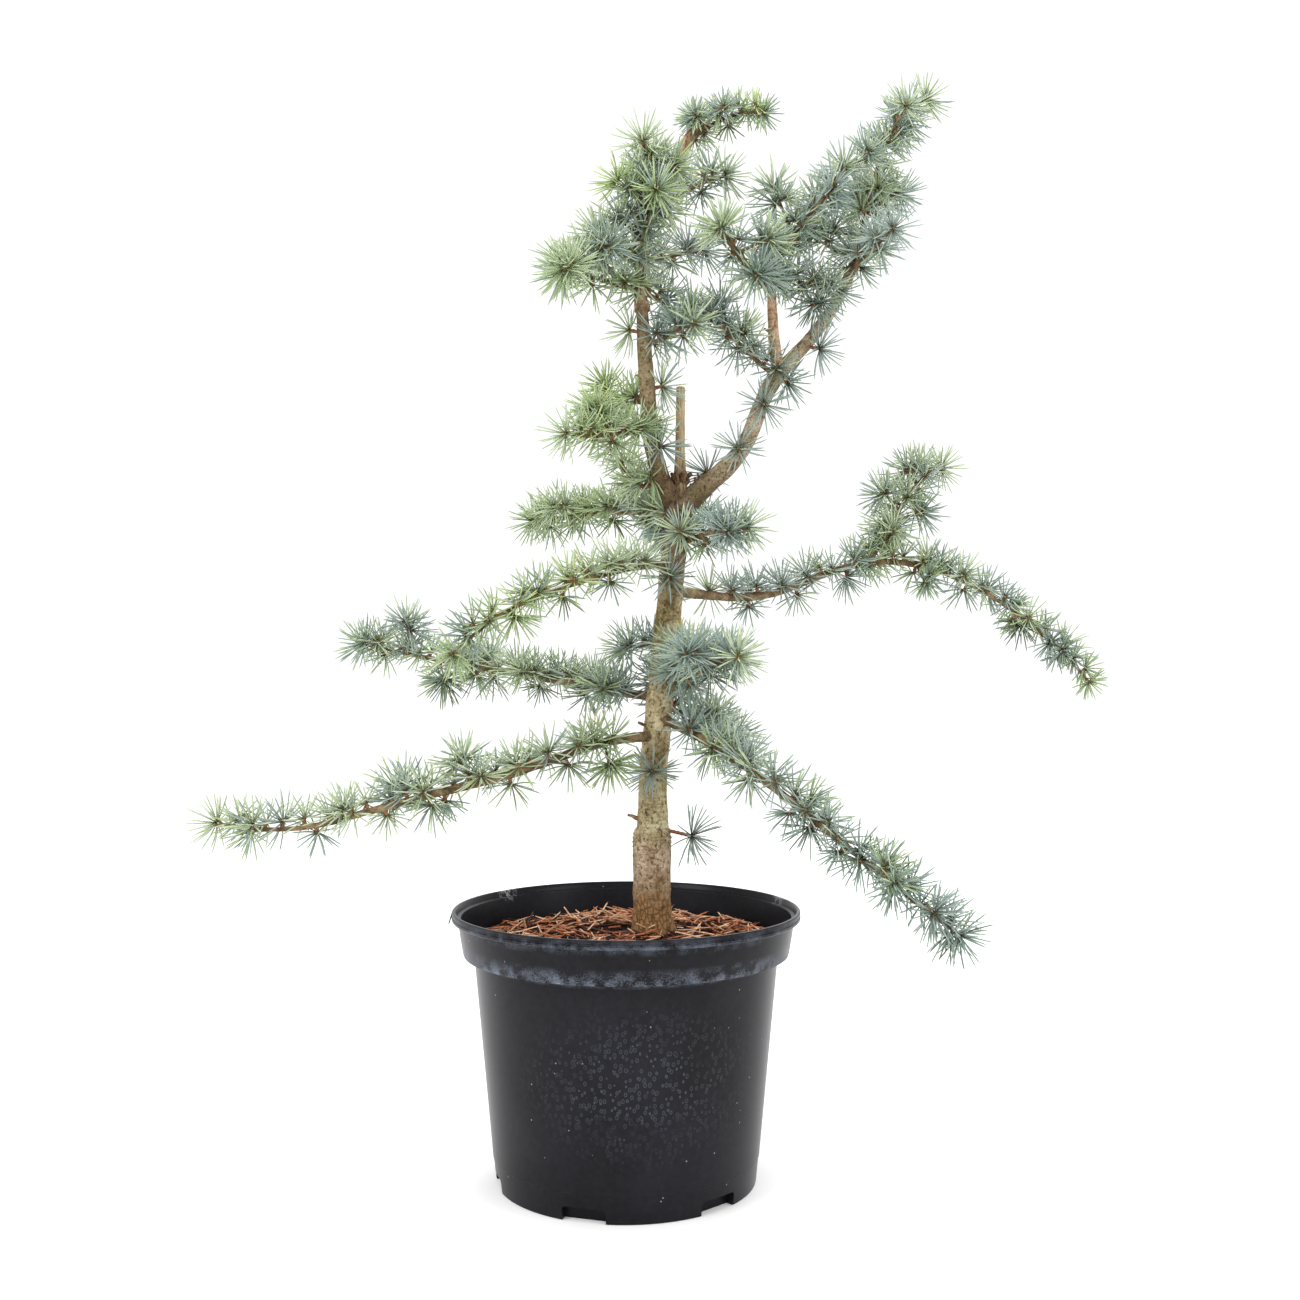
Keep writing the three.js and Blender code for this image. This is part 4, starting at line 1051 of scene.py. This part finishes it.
# The outline of the pot, up its outside and over the lip, then down its inside to the floor
def pot_outline():
    step = body_radius(STEP_HEIGHT)
    foot = [(FOOT_RADIUS - 1.2, 0), (FOOT_RADIUS - 0.2, 0.4), (FOOT_RADIUS, 1.4)]
    body = [(step, STEP_HEIGHT), (step + 0.45, STEP_HEIGHT + 0.5), (BODY_RADIUS, COLLAR_BOTTOM)]
    collar = [
        (COLLAR_RADIUS - 1.7, COLLAR_BOTTOM), (COLLAR_RADIUS - 0.5, COLLAR_BOTTOM + 0.5),
        (COLLAR_RADIUS, COLLAR_BOTTOM + 1.9), (COLLAR_RADIUS + 2.2, COLLAR_BOTTOM + 14.3),
        (COLLAR_TOP_RADIUS, LIP_BOTTOM),
    ]
    lip = [
        (LIP_RADIUS - 0.7, LIP_BOTTOM), (LIP_RADIUS - 0.1, LIP_BOTTOM + 0.6), (LIP_RADIUS, LIP_BOTTOM + 2.2),
        (LIP_RADIUS - 0.8, LIP_BOTTOM + 2.9), (LIP_RADIUS - 0.8, LIP_BOTTOM + 3.6),
        (LIP_RADIUS, LIP_BOTTOM + 4.3), (LIP_RADIUS - 0.1, POT_HEIGHT - 0.9), (LIP_RADIUS - 0.9, POT_HEIGHT),
        (LIP_RADIUS - 2.4, POT_HEIGHT), (LIP_RADIUS - 3.1, POT_HEIGHT - 0.8),
        (LIP_RADIUS - 4.2, LIP_BOTTOM + 2.2),
    ]
    inside = [
        (COLLAR_TOP_RADIUS - WALL, LIP_BOTTOM + 1.6), (COLLAR_TOP_RADIUS - WALL - 0.3, LIP_BOTTOM + 0.6),
        (COLLAR_RADIUS - WALL, COLLAR_BOTTOM + WALL), (BODY_RADIUS - WALL, COLLAR_BOTTOM + WALL),
        (FOOT_RADIUS - WALL, WALL),
    ]
    return foot + body + collar + lip + inside


def make_pot(material):
    pot = turned_solid("pot_shell", pot_outline(), POT_SIDES)
    inner = FOOT_RADIUS - NOTCH_DEPTH
    pockets = notch_blocks(width=NOTCH_WIDTH + 2 * WALL, bottom=0.3, top=NOTCH_HEIGHT + WALL,
                           inner=inner - WALL, outer=FOOT_RADIUS - 1.9, corner=4.0)
    cut_or_join(pot, pockets, "UNION")
    cutters = notch_blocks(width=NOTCH_WIDTH, bottom=-2.0, top=NOTCH_HEIGHT, inner=inner,
                           outer=FOOT_RADIUS + 6, corner=3.4)
    cut_or_join(pot, cutters, "DIFFERENCE")
    pot.data.materials.clear()
    pot.data.materials.append(material)
    select_only(pot)
    bpy.ops.object.shade_smooth_by_angle(angle=math.radians(SHARP_EDGE))
    return hand_in(pot, ["pot"])


# The flake is a thin plate that leans out a little towards its lower edge.
def make_flake(material):
    points = []
    for turn, drop in FLAKE_DROPS:
        angle = math.radians(FLAKE_BEARING + turn)
        out = LIP_RADIUS + FLAKE_LEAN * drop
        bottom = FLAKE_TOP - drop
        corners = [(LIP_RADIUS, FLAKE_TOP), (out, bottom), (out - FLAKE_THICK, bottom),
                   (LIP_RADIUS - FLAKE_THICK, FLAKE_TOP)]
        points += [(radius * math.cos(angle), radius * math.sin(angle), height) for radius, height in corners]
    last = len(points) - 4
    faces = [[3, 2, 1, 0], [last, last + 1, last + 2, last + 3]]
    for start in range(0, last, 4):
        for corner in range(4):
            after = (corner + 1) % 4
            faces.append([start + corner, start + after, start + 4 + after, start + 4 + corner])
    add_piece("lip_flake", np.array(points), [np.array(faces)], material, [])


# The top of the soil and its mulch: level round the trunk, then falling and lumpy out to the wall
def mulch_top(radius, bearing):
    fall = np.clip((radius - SOIL_PLATEAU) / (COLLAR_RADIUS - SOIL_PLATEAU), 0, 1)
    lumps = np.sin(LUMPS_ROUND[0] * bearing + radius) + np.sin(LUMPS_ROUND[1] * bearing)
    return SOIL_TOP + (SOIL_EDGE - SOIL_TOP) * fall + SOIL_BUMP * lumps * fall


# The soil is a turned solid whose top is lifted to the mulch's shape with small lumps of its own.
def make_soil(material):
    edge = COLLAR_RADIUS - WALL - 0.4
    sides_up = [
        (FOOT_RADIUS - WALL - 1, NOTCH_HEIGHT + WALL + 1), (BODY_RADIUS - WALL - 0.5, COLLAR_BOTTOM + 2.6),
        (edge, COLLAR_BOTTOM + 2.8), (edge + 0.6, SOIL_EDGE - 1),
    ]
    rings = [(radius, SOIL_TOP) for radius in np.linspace(edge, SOIL_MIDDLE, SOIL_RINGS)]
    soil = turned_solid("soil_bed", sides_up + rings, POT_SIDES // 2)
    for vertex in soil.data.vertices:
        place = vertex.co
        if place.z > (SOIL_TOP - 0.5) * MM:
            radius = math.hypot(place.x, place.y) / MM
            top = float(mulch_top(radius, math.atan2(place.y, place.x)))
            lumps = [depth * noise.noise(place / (size * MM)) for depth, size in SOIL_LUMPS]
            place.z = (top + sum(lumps) - SOIL_SUNK) * MM
    soil.data.materials.append(material)
    select_only(soil)
    bpy.ops.object.shade_smooth()
    return hand_in(soil, ["soil"])


# Dry needles, bark fibres and sticks that lie crossed on the soil
def make_mulch(finishes):
    rng = np.random.default_rng(MULCH_SEED)
    for name, number, lengths, width, lift, slope in MULCH:
        radius = MULCH_REACH * np.sqrt(rng.uniform(MULCH_MIDDLE, 1, number))
        around = rng.uniform(0, 2 * math.pi, number)
        length = rng.uniform(*lengths, number)
        bearing = rng.uniform(0, 2 * math.pi, number)
        rise = rng.normal(0, slope, number)
        level = np.cos(rise)
        ways = np.stack([np.cos(bearing) * level, np.sin(bearing) * level, np.sin(rise)], axis=1)
        heights = mulch_top(radius, around) - MULCH_SUNK + rng.uniform(0, lift, number)
        middle = np.stack([radius * np.cos(around), radius * np.sin(around), heights], axis=1)
        roots = middle - ways * length[:, None] / 2
        bends = rng.normal(0, MULCH_BEND, (number, 3)) * length[:, None]
        tips = middle + ways * length[:, None] / 2 + bends
        widest = np.maximum(np.hypot(*roots[:, :2].T), np.hypot(*tips[:, :2].T))
        lowest = np.minimum(roots[:, 2], tips[:, 2])
        inside = (widest < MULCH_REACH) & (lowest > MULCH_LOWEST)
        batch = (roots[inside], ways[inside], length[inside], bends[inside])
        needle_piece(f"mulch_{name}", [batch], width, finishes[f"mulch_{name}"], "soil", [])


# Finishes
def paint(colour, alpha=1.0):
    linear = [((c / 255 + 0.055) / 1.055) ** 2.4 if c > 10 else c / 255 / 12.92 for c in colour]
    return (*linear, alpha)


# A node of a kind, with inputs given as values or as outputs of other nodes
def put(tree, kind, inputs=None, **settings):
    node = tree.nodes.new(f"ShaderNode{kind}")
    for name, value in settings.items():
        setattr(node, name, value)
    for name, value in (inputs or {}).items():
        if isinstance(value, bpy.types.NodeSocket):
            tree.links.new(value, node.inputs[name])
        else:
            node.inputs[name].default_value = value
    return node


def ramp(tree, factor, stops):
    node = put(tree, "ValToRGB", {"Fac": factor})
    elements = node.color_ramp.elements
    while len(elements) < len(stops):
        elements.new(0.5)
    for element, (place, colour) in zip(elements, stops):
        element.position = place
        element.color = paint(colour)
    return node.outputs["Color"]


def blend(tree, factor, first, second, mode="MIX"):
    return put(tree, "Mix", {0: factor, 6: first, 7: second}, data_type="RGBA", blend_type=mode).outputs[2]


def maths(tree, operation, *values):
    return put(tree, "Math", dict(enumerate(values)), operation=operation).outputs[0]


def times(tree, first, second):
    return maths(tree, "MULTIPLY", first, second)


# From `bottom` where the value is at `start` to `top` where it is at `end`
def graded(tree, value, start, end, top=1.0, bottom=0.0):
    inputs = {"Value": value, "From Min": start, "From Max": end, "To Min": bottom, "To Max": top}
    return put(tree, "MapRange", inputs).outputs["Result"]


def mottled(tree, spot, scale, detail, roughness=0.5):
    inputs = {"Vector": spot, "Scale": scale, "Detail": detail, "Roughness": roughness}
    return put(tree, "TexNoise", inputs).outputs["Fac"]


# How far away a place in millimetres is, in metres
def distance(tree, spot, place):
    inputs = {0: spot, 1: tuple(value * MM for value in place)}
    return put(tree, "VectorMath", inputs, operation="DISTANCE").outputs["Value"]


def height_of(tree, spot):
    return put(tree, "SeparateXYZ", {"Vector": spot}).outputs["Z"]


# A soft patchy mask of two sizes of noise, as a group
def patches_group():
    group = bpy.data.node_groups.new("patches", "ShaderNodeTree")
    group.interface.new_socket("Vector", in_out="INPUT", socket_type="NodeSocketVector")
    for label, value in (("Scale", 60.0), ("Fine Scale", 400.0), ("Low", 0.4), ("High", 0.6)):
        socket = group.interface.new_socket(label, in_out="INPUT", socket_type="NodeSocketFloat")
        socket.default_value = value
    group.interface.new_socket("Mask", in_out="OUTPUT", socket_type="NodeSocketFloat")
    start = group.nodes.new("NodeGroupInput").outputs
    end = group.nodes.new("NodeGroupOutput").inputs
    broad = mottled(group, start["Vector"], start["Scale"], detail=3.0)
    fine = mottled(group, start["Vector"], start["Fine Scale"], detail=2.0)
    both = maths(group, "MULTIPLY_ADD", fine, 1 - BROAD_SHARE, times(group, broad, BROAD_SHARE))
    group.links.new(graded(group, both, start["Low"], start["High"]), end["Mask"])
    return group


# The patchy mask in a material, with its own values
def patchy(tree, patches, spot, scale, fine, low, high):
    inputs = {"Vector": spot, "Scale": scale, "Fine Scale": fine, "Low": low, "High": high}
    return put(tree, "Group", inputs, node_tree=patches).outputs["Mask"]


def new_finish(name, roughness, specular):
    material = bpy.data.materials.new(name)
    material.use_nodes = True
    tree = material.node_tree
    shader = tree.nodes["Principled BSDF"]
    shader.inputs["Roughness"].default_value = roughness
    shader.inputs["Specular IOR Level"].default_value = specular
    spot = put(tree, "TexCoord").outputs["Object"]
    return material, tree, shader, spot


def bump(tree, shader, height, distance, strength):
    node = put(tree, "Bump", {"Height": height, "Distance": distance, "Strength": strength})
    tree.links.new(node.outputs["Normal"], shader.inputs["Normal"])


def stretched(tree, spot, scale):
    return put(tree, "Mapping", {"Vector": spot, "Scale": scale}).outputs["Vector"]


# Bark: patches of three tones with fine dark flecks, green algae in places and thin level wrinkles, tinted by
# height with painted shade at the fork
def bark_finish(name, patches, light, middle, dark, algae_share):
    material, tree, shader, spot = new_finish(name, 0.85, 0.25)
    tone = patchy(tree, patches, spot, scale=70.0, fine=520.0, low=0.36, high=0.64)
    plain = ramp(tree, tone, [(0.0, dark), (0.42, middle), (1.0, light)])
    green = patchy(tree, patches, spot, scale=42.0, fine=300.0, low=0.48, high=0.62)
    greened = blend(tree, times(tree, green, algae_share), plain, paint(ALGAE))
    flecks = mottled(tree, stretched(tree, spot, (1, 1, 0.7)), scale=420.0, detail=4.0, roughness=0.65)
    flecked = blend(tree, graded(tree, flecks, start=0.48, end=0.36, top=0.85), greened, paint(FLECK))
    lines = mottled(tree, stretched(tree, spot, (1, 1, 7)), scale=75.0, detail=3.0)
    shaded = blend(tree, graded(tree, lines, start=0.43, end=0.37, top=0.3), flecked, paint(FLECK))
    if name == "trunk_bark":
        shaded = blend(tree, foot_mask(tree, spot), shaded, foot_bark(tree, spot))
    tinted_and_fork_shaded = blend(tree, 1.0, shaded, tint_and_fork_shade(tree, spot), "MULTIPLY")
    tree.links.new(tinted_and_fork_shaded, shader.inputs["Base Color"])
    bump(tree, shader, maths(tree, "ADD", flecks, lines), distance=0.0012, strength=0.8)
    return material


def ragged_height(tree, spot):
    height = height_of(tree, spot)
    ragged = mottled(tree, spot, scale=120.0, detail=2.0)
    return maths(tree, "MULTIPLY_ADD", ragged, RAGGEDNESS, height)


# Bark tints by height, with painted shade darkening the wood round the fork
def tint_and_fork_shade(tree, spot):
    low, high = (value * MM for value in TINT_AND_FORK_SHADE_SPAN)
    return ramp(tree, graded(tree, ragged_height(tree, spot), low, high), BARK_TINTS_AND_FORK_SHADE)


# The flaky bark at the trunk's foot
def foot_bark(tree, spot):
    inputs = {"Vector": stretched(tree, spot, (1, 1, 0.55)), "Scale": 330.0}
    flakes = put(tree, "TexVoronoi", inputs, feature="DISTANCE_TO_EDGE")
    return ramp(tree, flakes.outputs["Distance"], FOOT_FLAKES)


def foot_mask(tree, spot):
    low, high = (value * MM for value in FOOT_BARK)
    return graded(tree, ragged_height(tree, spot), high, low)


# Bare weathered wood with long grain, darkened towards its foot by painted shade at the fork
def dead_wood_finish():
    material, tree, shader, spot = new_finish("weathered_wood", 0.75, 0.3)
    grain = mottled(tree, stretched(tree, spot, (1, 1, 0.08)), scale=900.0, detail=4.0)
    tone = ramp(tree, grain, WEATHERED_WOOD)
    tinted_and_fork_shaded = blend(tree, 1.0, tone, tint_and_fork_shade(tree, spot), "MULTIPLY")
    tree.links.new(tinted_and_fork_shaded, shader.inputs["Base Color"])
    bump(tree, shader, grain, distance=0.0005, strength=0.7)
    return material


def twig_finish(patches):
    material, tree, shader, spot = new_finish("twig_bark", 0.8, 0.25)
    tone = patchy(tree, patches, spot, scale=110.0, fine=900.0, low=0.36, high=0.64)
    tree.links.new(ramp(tree, tone, TWIG_BARK), shader.inputs["Base Color"])
    scales = put(tree, "TexVoronoi", {"Vector": spot, "Scale": 900.0})
    bump(tree, shader, scales.outputs["Distance"], distance=0.0003, strength=0.6)
    return material


# Waxy needles: a plain tint, a little darker at the root as painted shade, and paler at the point
def needle_finish(name, colour):
    material, tree, shader, _ = new_finish(name, 0.5, 0.35)
    along = put(tree, "Attribute", attribute_name="along").outputs["Fac"]
    # The darker root colour is painted shade in the middle of the rosette
    root = tuple(channel * share for channel, share in zip(colour, NEEDLE_ROOT_SHADE))
    point = tuple(min(255, channel * NEEDLE_POINT) for channel in colour)
    tone = ramp(tree, along, [(0.0, root), (NEEDLE_ROOT_SHADE_END, colour), (1.0, point)])
    tree.links.new(tone, shader.inputs["Base Color"])
    return material


# Black plastic with chalky lime on its collar and lip, dried drops on its front, scuffs and pale specks, and
# a faint pale line of painted highlight on top of the lip
def pot_finish(patches):
    material, tree, shader, spot = new_finish("black_plastic", 0.3, 0.12)
    tone = patchy(tree, patches, spot, scale=14.0, fine=220.0, low=0.3, high=0.7)
    plain = ramp(tree, tone, PLASTIC)
    lime_and_lip_highlight = lime_and_lip_highlight_mask(tree, patches, spot)
    limed = blend(tree, lime_and_lip_highlight, plain, paint(LIME))
    dropped = blend(tree, drop_mask(tree, spot), limed, paint(DRIED_DROP))
    scuffed = blend(tree, scuff_mask(tree, patches, spot), dropped, paint(SCUFF))
    specked = blend(tree, speck_mask(tree, spot), scuffed, paint(DUST))
    tree.links.new(specked, shader.inputs["Base Color"])
    tree.links.new(graded(tree, lime_and_lip_highlight, 0.0, 1.0, top=0.85, bottom=0.3), shader.inputs["Roughness"])
    bump(tree, shader, mottled(tree, spot, scale=1400.0, detail=2.0), distance=0.0001, strength=0.35)
    return material


# Lime lies outside, in a ragged band along the lower edge of the collar and thinly along the lip. The flat
# top of the lip gets half of it, a pale line that is a painted highlight.
def lime_and_lip_highlight_mask(tree, patches, spot):
    height = height_of(tree, spot)
    squat = stretched(tree, spot, (1, 1, 1.1))
    cloud = patchy(tree, patches, squat, scale=95.0, fine=900.0, low=0.44, high=0.66)
    bands = []
    for low, peak, high, amount in LIME_BANDS:
        up = graded(tree, height, low * MM, peak * MM)
        bands.append(times(tree, up, graded(tree, height, high * MM, peak * MM, top=amount)))
    facing = put(tree, "NewGeometry").outputs["Normal"]
    inputs = {0: facing, 1: stretched(tree, spot, (1, 1, 0))}
    outwards = put(tree, "VectorMath", inputs, operation="DOT_PRODUCT").outputs["Value"]
    # Half of it reaches the upturned top of the lip, a pale line of painted highlight
    outside_and_lip_highlight = graded(tree, outwards, start=-0.03, end=0.03)
    return times(tree, outside_and_lip_highlight, times(tree, maths(tree, "ADD", *bands), cloud))


# Outlines that drops leave as they dry, in an oval zone on the front of the body
def drop_mask(tree, spot):
    inputs = {"Vector": stretched(tree, spot, (1, 1, 0.75)), "Scale": 290.0, "Randomness": 0.85}
    cells = put(tree, "TexVoronoi", inputs).outputs["Distance"]
    away = maths(tree, "ABSOLUTE", maths(tree, "SUBTRACT", cells, 0.32))
    rim = graded(tree, away, start=0.075, end=0.015)
    filled = graded(tree, cells, start=0.36, end=0.28, top=0.2)
    oval = stretched(tree, spot, (1, 1, DROP_ZONE_SQUAT))
    across, front, height = DROP_ZONE
    centre = distance(tree, oval, (across, front, height * DROP_ZONE_SQUAT))
    zone = graded(tree, centre, DROP_ZONE_EDGE * MM, DROP_ZONE_FULL * MM, top=0.5)
    part = graded(tree, mottled(tree, spot, scale=40.0, detail=3.0), start=0.28, end=0.5)
    return times(tree, maths(tree, "MAXIMUM", rim, filled), times(tree, zone, part))


# Scuffs are torn grey patches at places on the lip.
def scuff_mask(tree, patches, spot):
    torn = patchy(tree, patches, spot, scale=260.0, fine=900.0, low=0.46, high=0.56)
    near = [graded(tree, distance(tree, spot, place), SCUFF_REACH * MM, SCUFF_REACH * MM / 3)
            for place in SCUFFS]
    return times(tree, maths(tree, "ADD", *near), torn)


# A few pale specks of dust
def speck_mask(tree, spot):
    cells = put(tree, "TexVoronoi", {"Vector": spot, "Scale": 110.0})
    dot = graded(tree, cells.outputs["Distance"], start=0.07, end=0.04)
    chance = put(tree, "SeparateColor", {"Color": cells.outputs["Color"]}).outputs[0]
    return times(tree, dot, maths(tree, "GREATER_THAN", chance, 0.6))


def grainy_finish(name, dark, light):
    material, tree, shader, spot = new_finish(name, 0.85, 0.25)
    grain = mottled(tree, spot, scale=320.0, detail=3.0)
    tree.links.new(ramp(tree, grain, [(0.32, dark), (0.68, light)]), shader.inputs["Base Color"])
    bump(tree, shader, grain, distance=0.0004, strength=0.5)
    return material


# All finishes by name
def make_finishes():
    patches = patches_group()
    finishes = {name: bark_finish(name, patches, *tones) for name, tones in BARKS.items()}
    for name, tones in GRAINY.items():
        finishes[name] = grainy_finish(name, *tones)
    for name, (colour, _, _) in TINTS.items():
        finishes[f"needles_{name}"] = needle_finish(f"needles_{name}", colour)
    finishes["weathered_wood"] = dead_wood_finish()
    finishes["twig_bark"] = twig_finish(patches)
    finishes["black_plastic"] = pot_finish(patches)
    return finishes


# Stage
def make_camera():
    data = bpy.data.cameras.new("camera")
    data.sensor_width = 36
    data.lens = CAMERA_LENS
    camera = bpy.data.objects.new("camera", data)
    camera.location = [value * MM for value in CAMERA_PLACE]
    camera.rotation_euler = (math.radians(90), 0, 0)
    bpy.context.scene.collection.objects.link(camera)
    bpy.context.scene.camera = camera


def make_light(name, place, aim, size, power):
    data = bpy.data.lights.new(name, "AREA")
    data.shape = "DISK"
    data.size = size
    data.energy = power
    light = bpy.data.objects.new(name, data)
    light.location = place
    light.rotation_euler = (Vector(aim) - Vector(place)).to_track_quat("-Z", "Y").to_euler()
    bpy.context.scene.collection.objects.link(light)


def make_stage():
    select_only()
    bpy.ops.mesh.primitive_circle_add(vertices=FLOOR_SIDES, radius=FLOOR_RADIUS, fill_type="NGON",
                                      location=(0, 0, 0))
    floor = bpy.context.object
    floor.name = "floor"
    material, _, shader, _ = new_finish("pale_floor", 0.9, 0.1)
    shader.inputs["Base Color"].default_value = paint(PALE)
    # The floor's glow is painted light that pales the pot's shadow
    shader.inputs["Emission Color"].default_value = WHITE
    shader.inputs["Emission Strength"].default_value = FLOOR_PAINTED_GLOW
    floor.data.materials.append(material)
    world = bpy.data.worlds.new("studio")
    world.use_nodes = True
    background = world.node_tree.nodes["Background"]
    background.inputs["Color"].default_value = WHITE
    background.inputs["Strength"].default_value = WORLD_LIGHT
    bpy.context.scene.world = world
    bpy.context.scene.view_settings.view_transform = "Standard"
    for light in LIGHTS:
        make_light(*light)


def main():
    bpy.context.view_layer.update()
    finishes = make_finishes()
    make_camera()
    make_stage()
    courses = {}
    for limb in LIMBS + SHOOTS:
        foot = courses[limb["on"]].spot(limb["at"])[0] if limb["on"] else np.array(TRUNK_FOOT)
        courses[limb["name"]] = Course(foot, limb["length"], limb["bearings"], limb["rises"])
    wood = make_limbs(courses, finishes)
    for shoot in SHOOTS:
        radius_at = limb_radius(shoot["girths"], shoot["length"], LIMB_COLLAR)
        wood.append((courses[shoot["name"]], shoot["length"], radius_at))
    foliage = Foliage(wood)
    stems = grow_foliage(foliage, courses)
    grow_tufts(foliage, courses, {limb["name"]: limb for limb in LIMBS})
    make_snags(courses, finishes)
    make_cut_faces(courses, finishes)
    make_spurs(foliage, finishes["spur_bark"])
    stems.made("boughs_and_twigs", finishes["twig_bark"], "young_bark",
               [f"bough_{shoot['name']}" for shoot in SHOOTS if shoot["bare"]])
    for name, batches in foliage.tints.items():
        needles = f"needles_{name}"
        needle_piece(needles, batches, NEEDLE_WIDTH, finishes[needles], "needles", foliage.owners[name])
    make_pot(finishes["black_plastic"])
    make_flake(finishes["black_plastic"])
    make_soil(finishes["soil"])
    make_mulch(finishes)


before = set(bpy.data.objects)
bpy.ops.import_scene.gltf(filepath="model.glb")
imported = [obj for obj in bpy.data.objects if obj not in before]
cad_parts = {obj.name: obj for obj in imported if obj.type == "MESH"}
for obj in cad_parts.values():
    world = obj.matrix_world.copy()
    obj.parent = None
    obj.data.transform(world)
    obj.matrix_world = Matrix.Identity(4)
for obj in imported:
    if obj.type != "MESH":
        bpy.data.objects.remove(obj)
main()
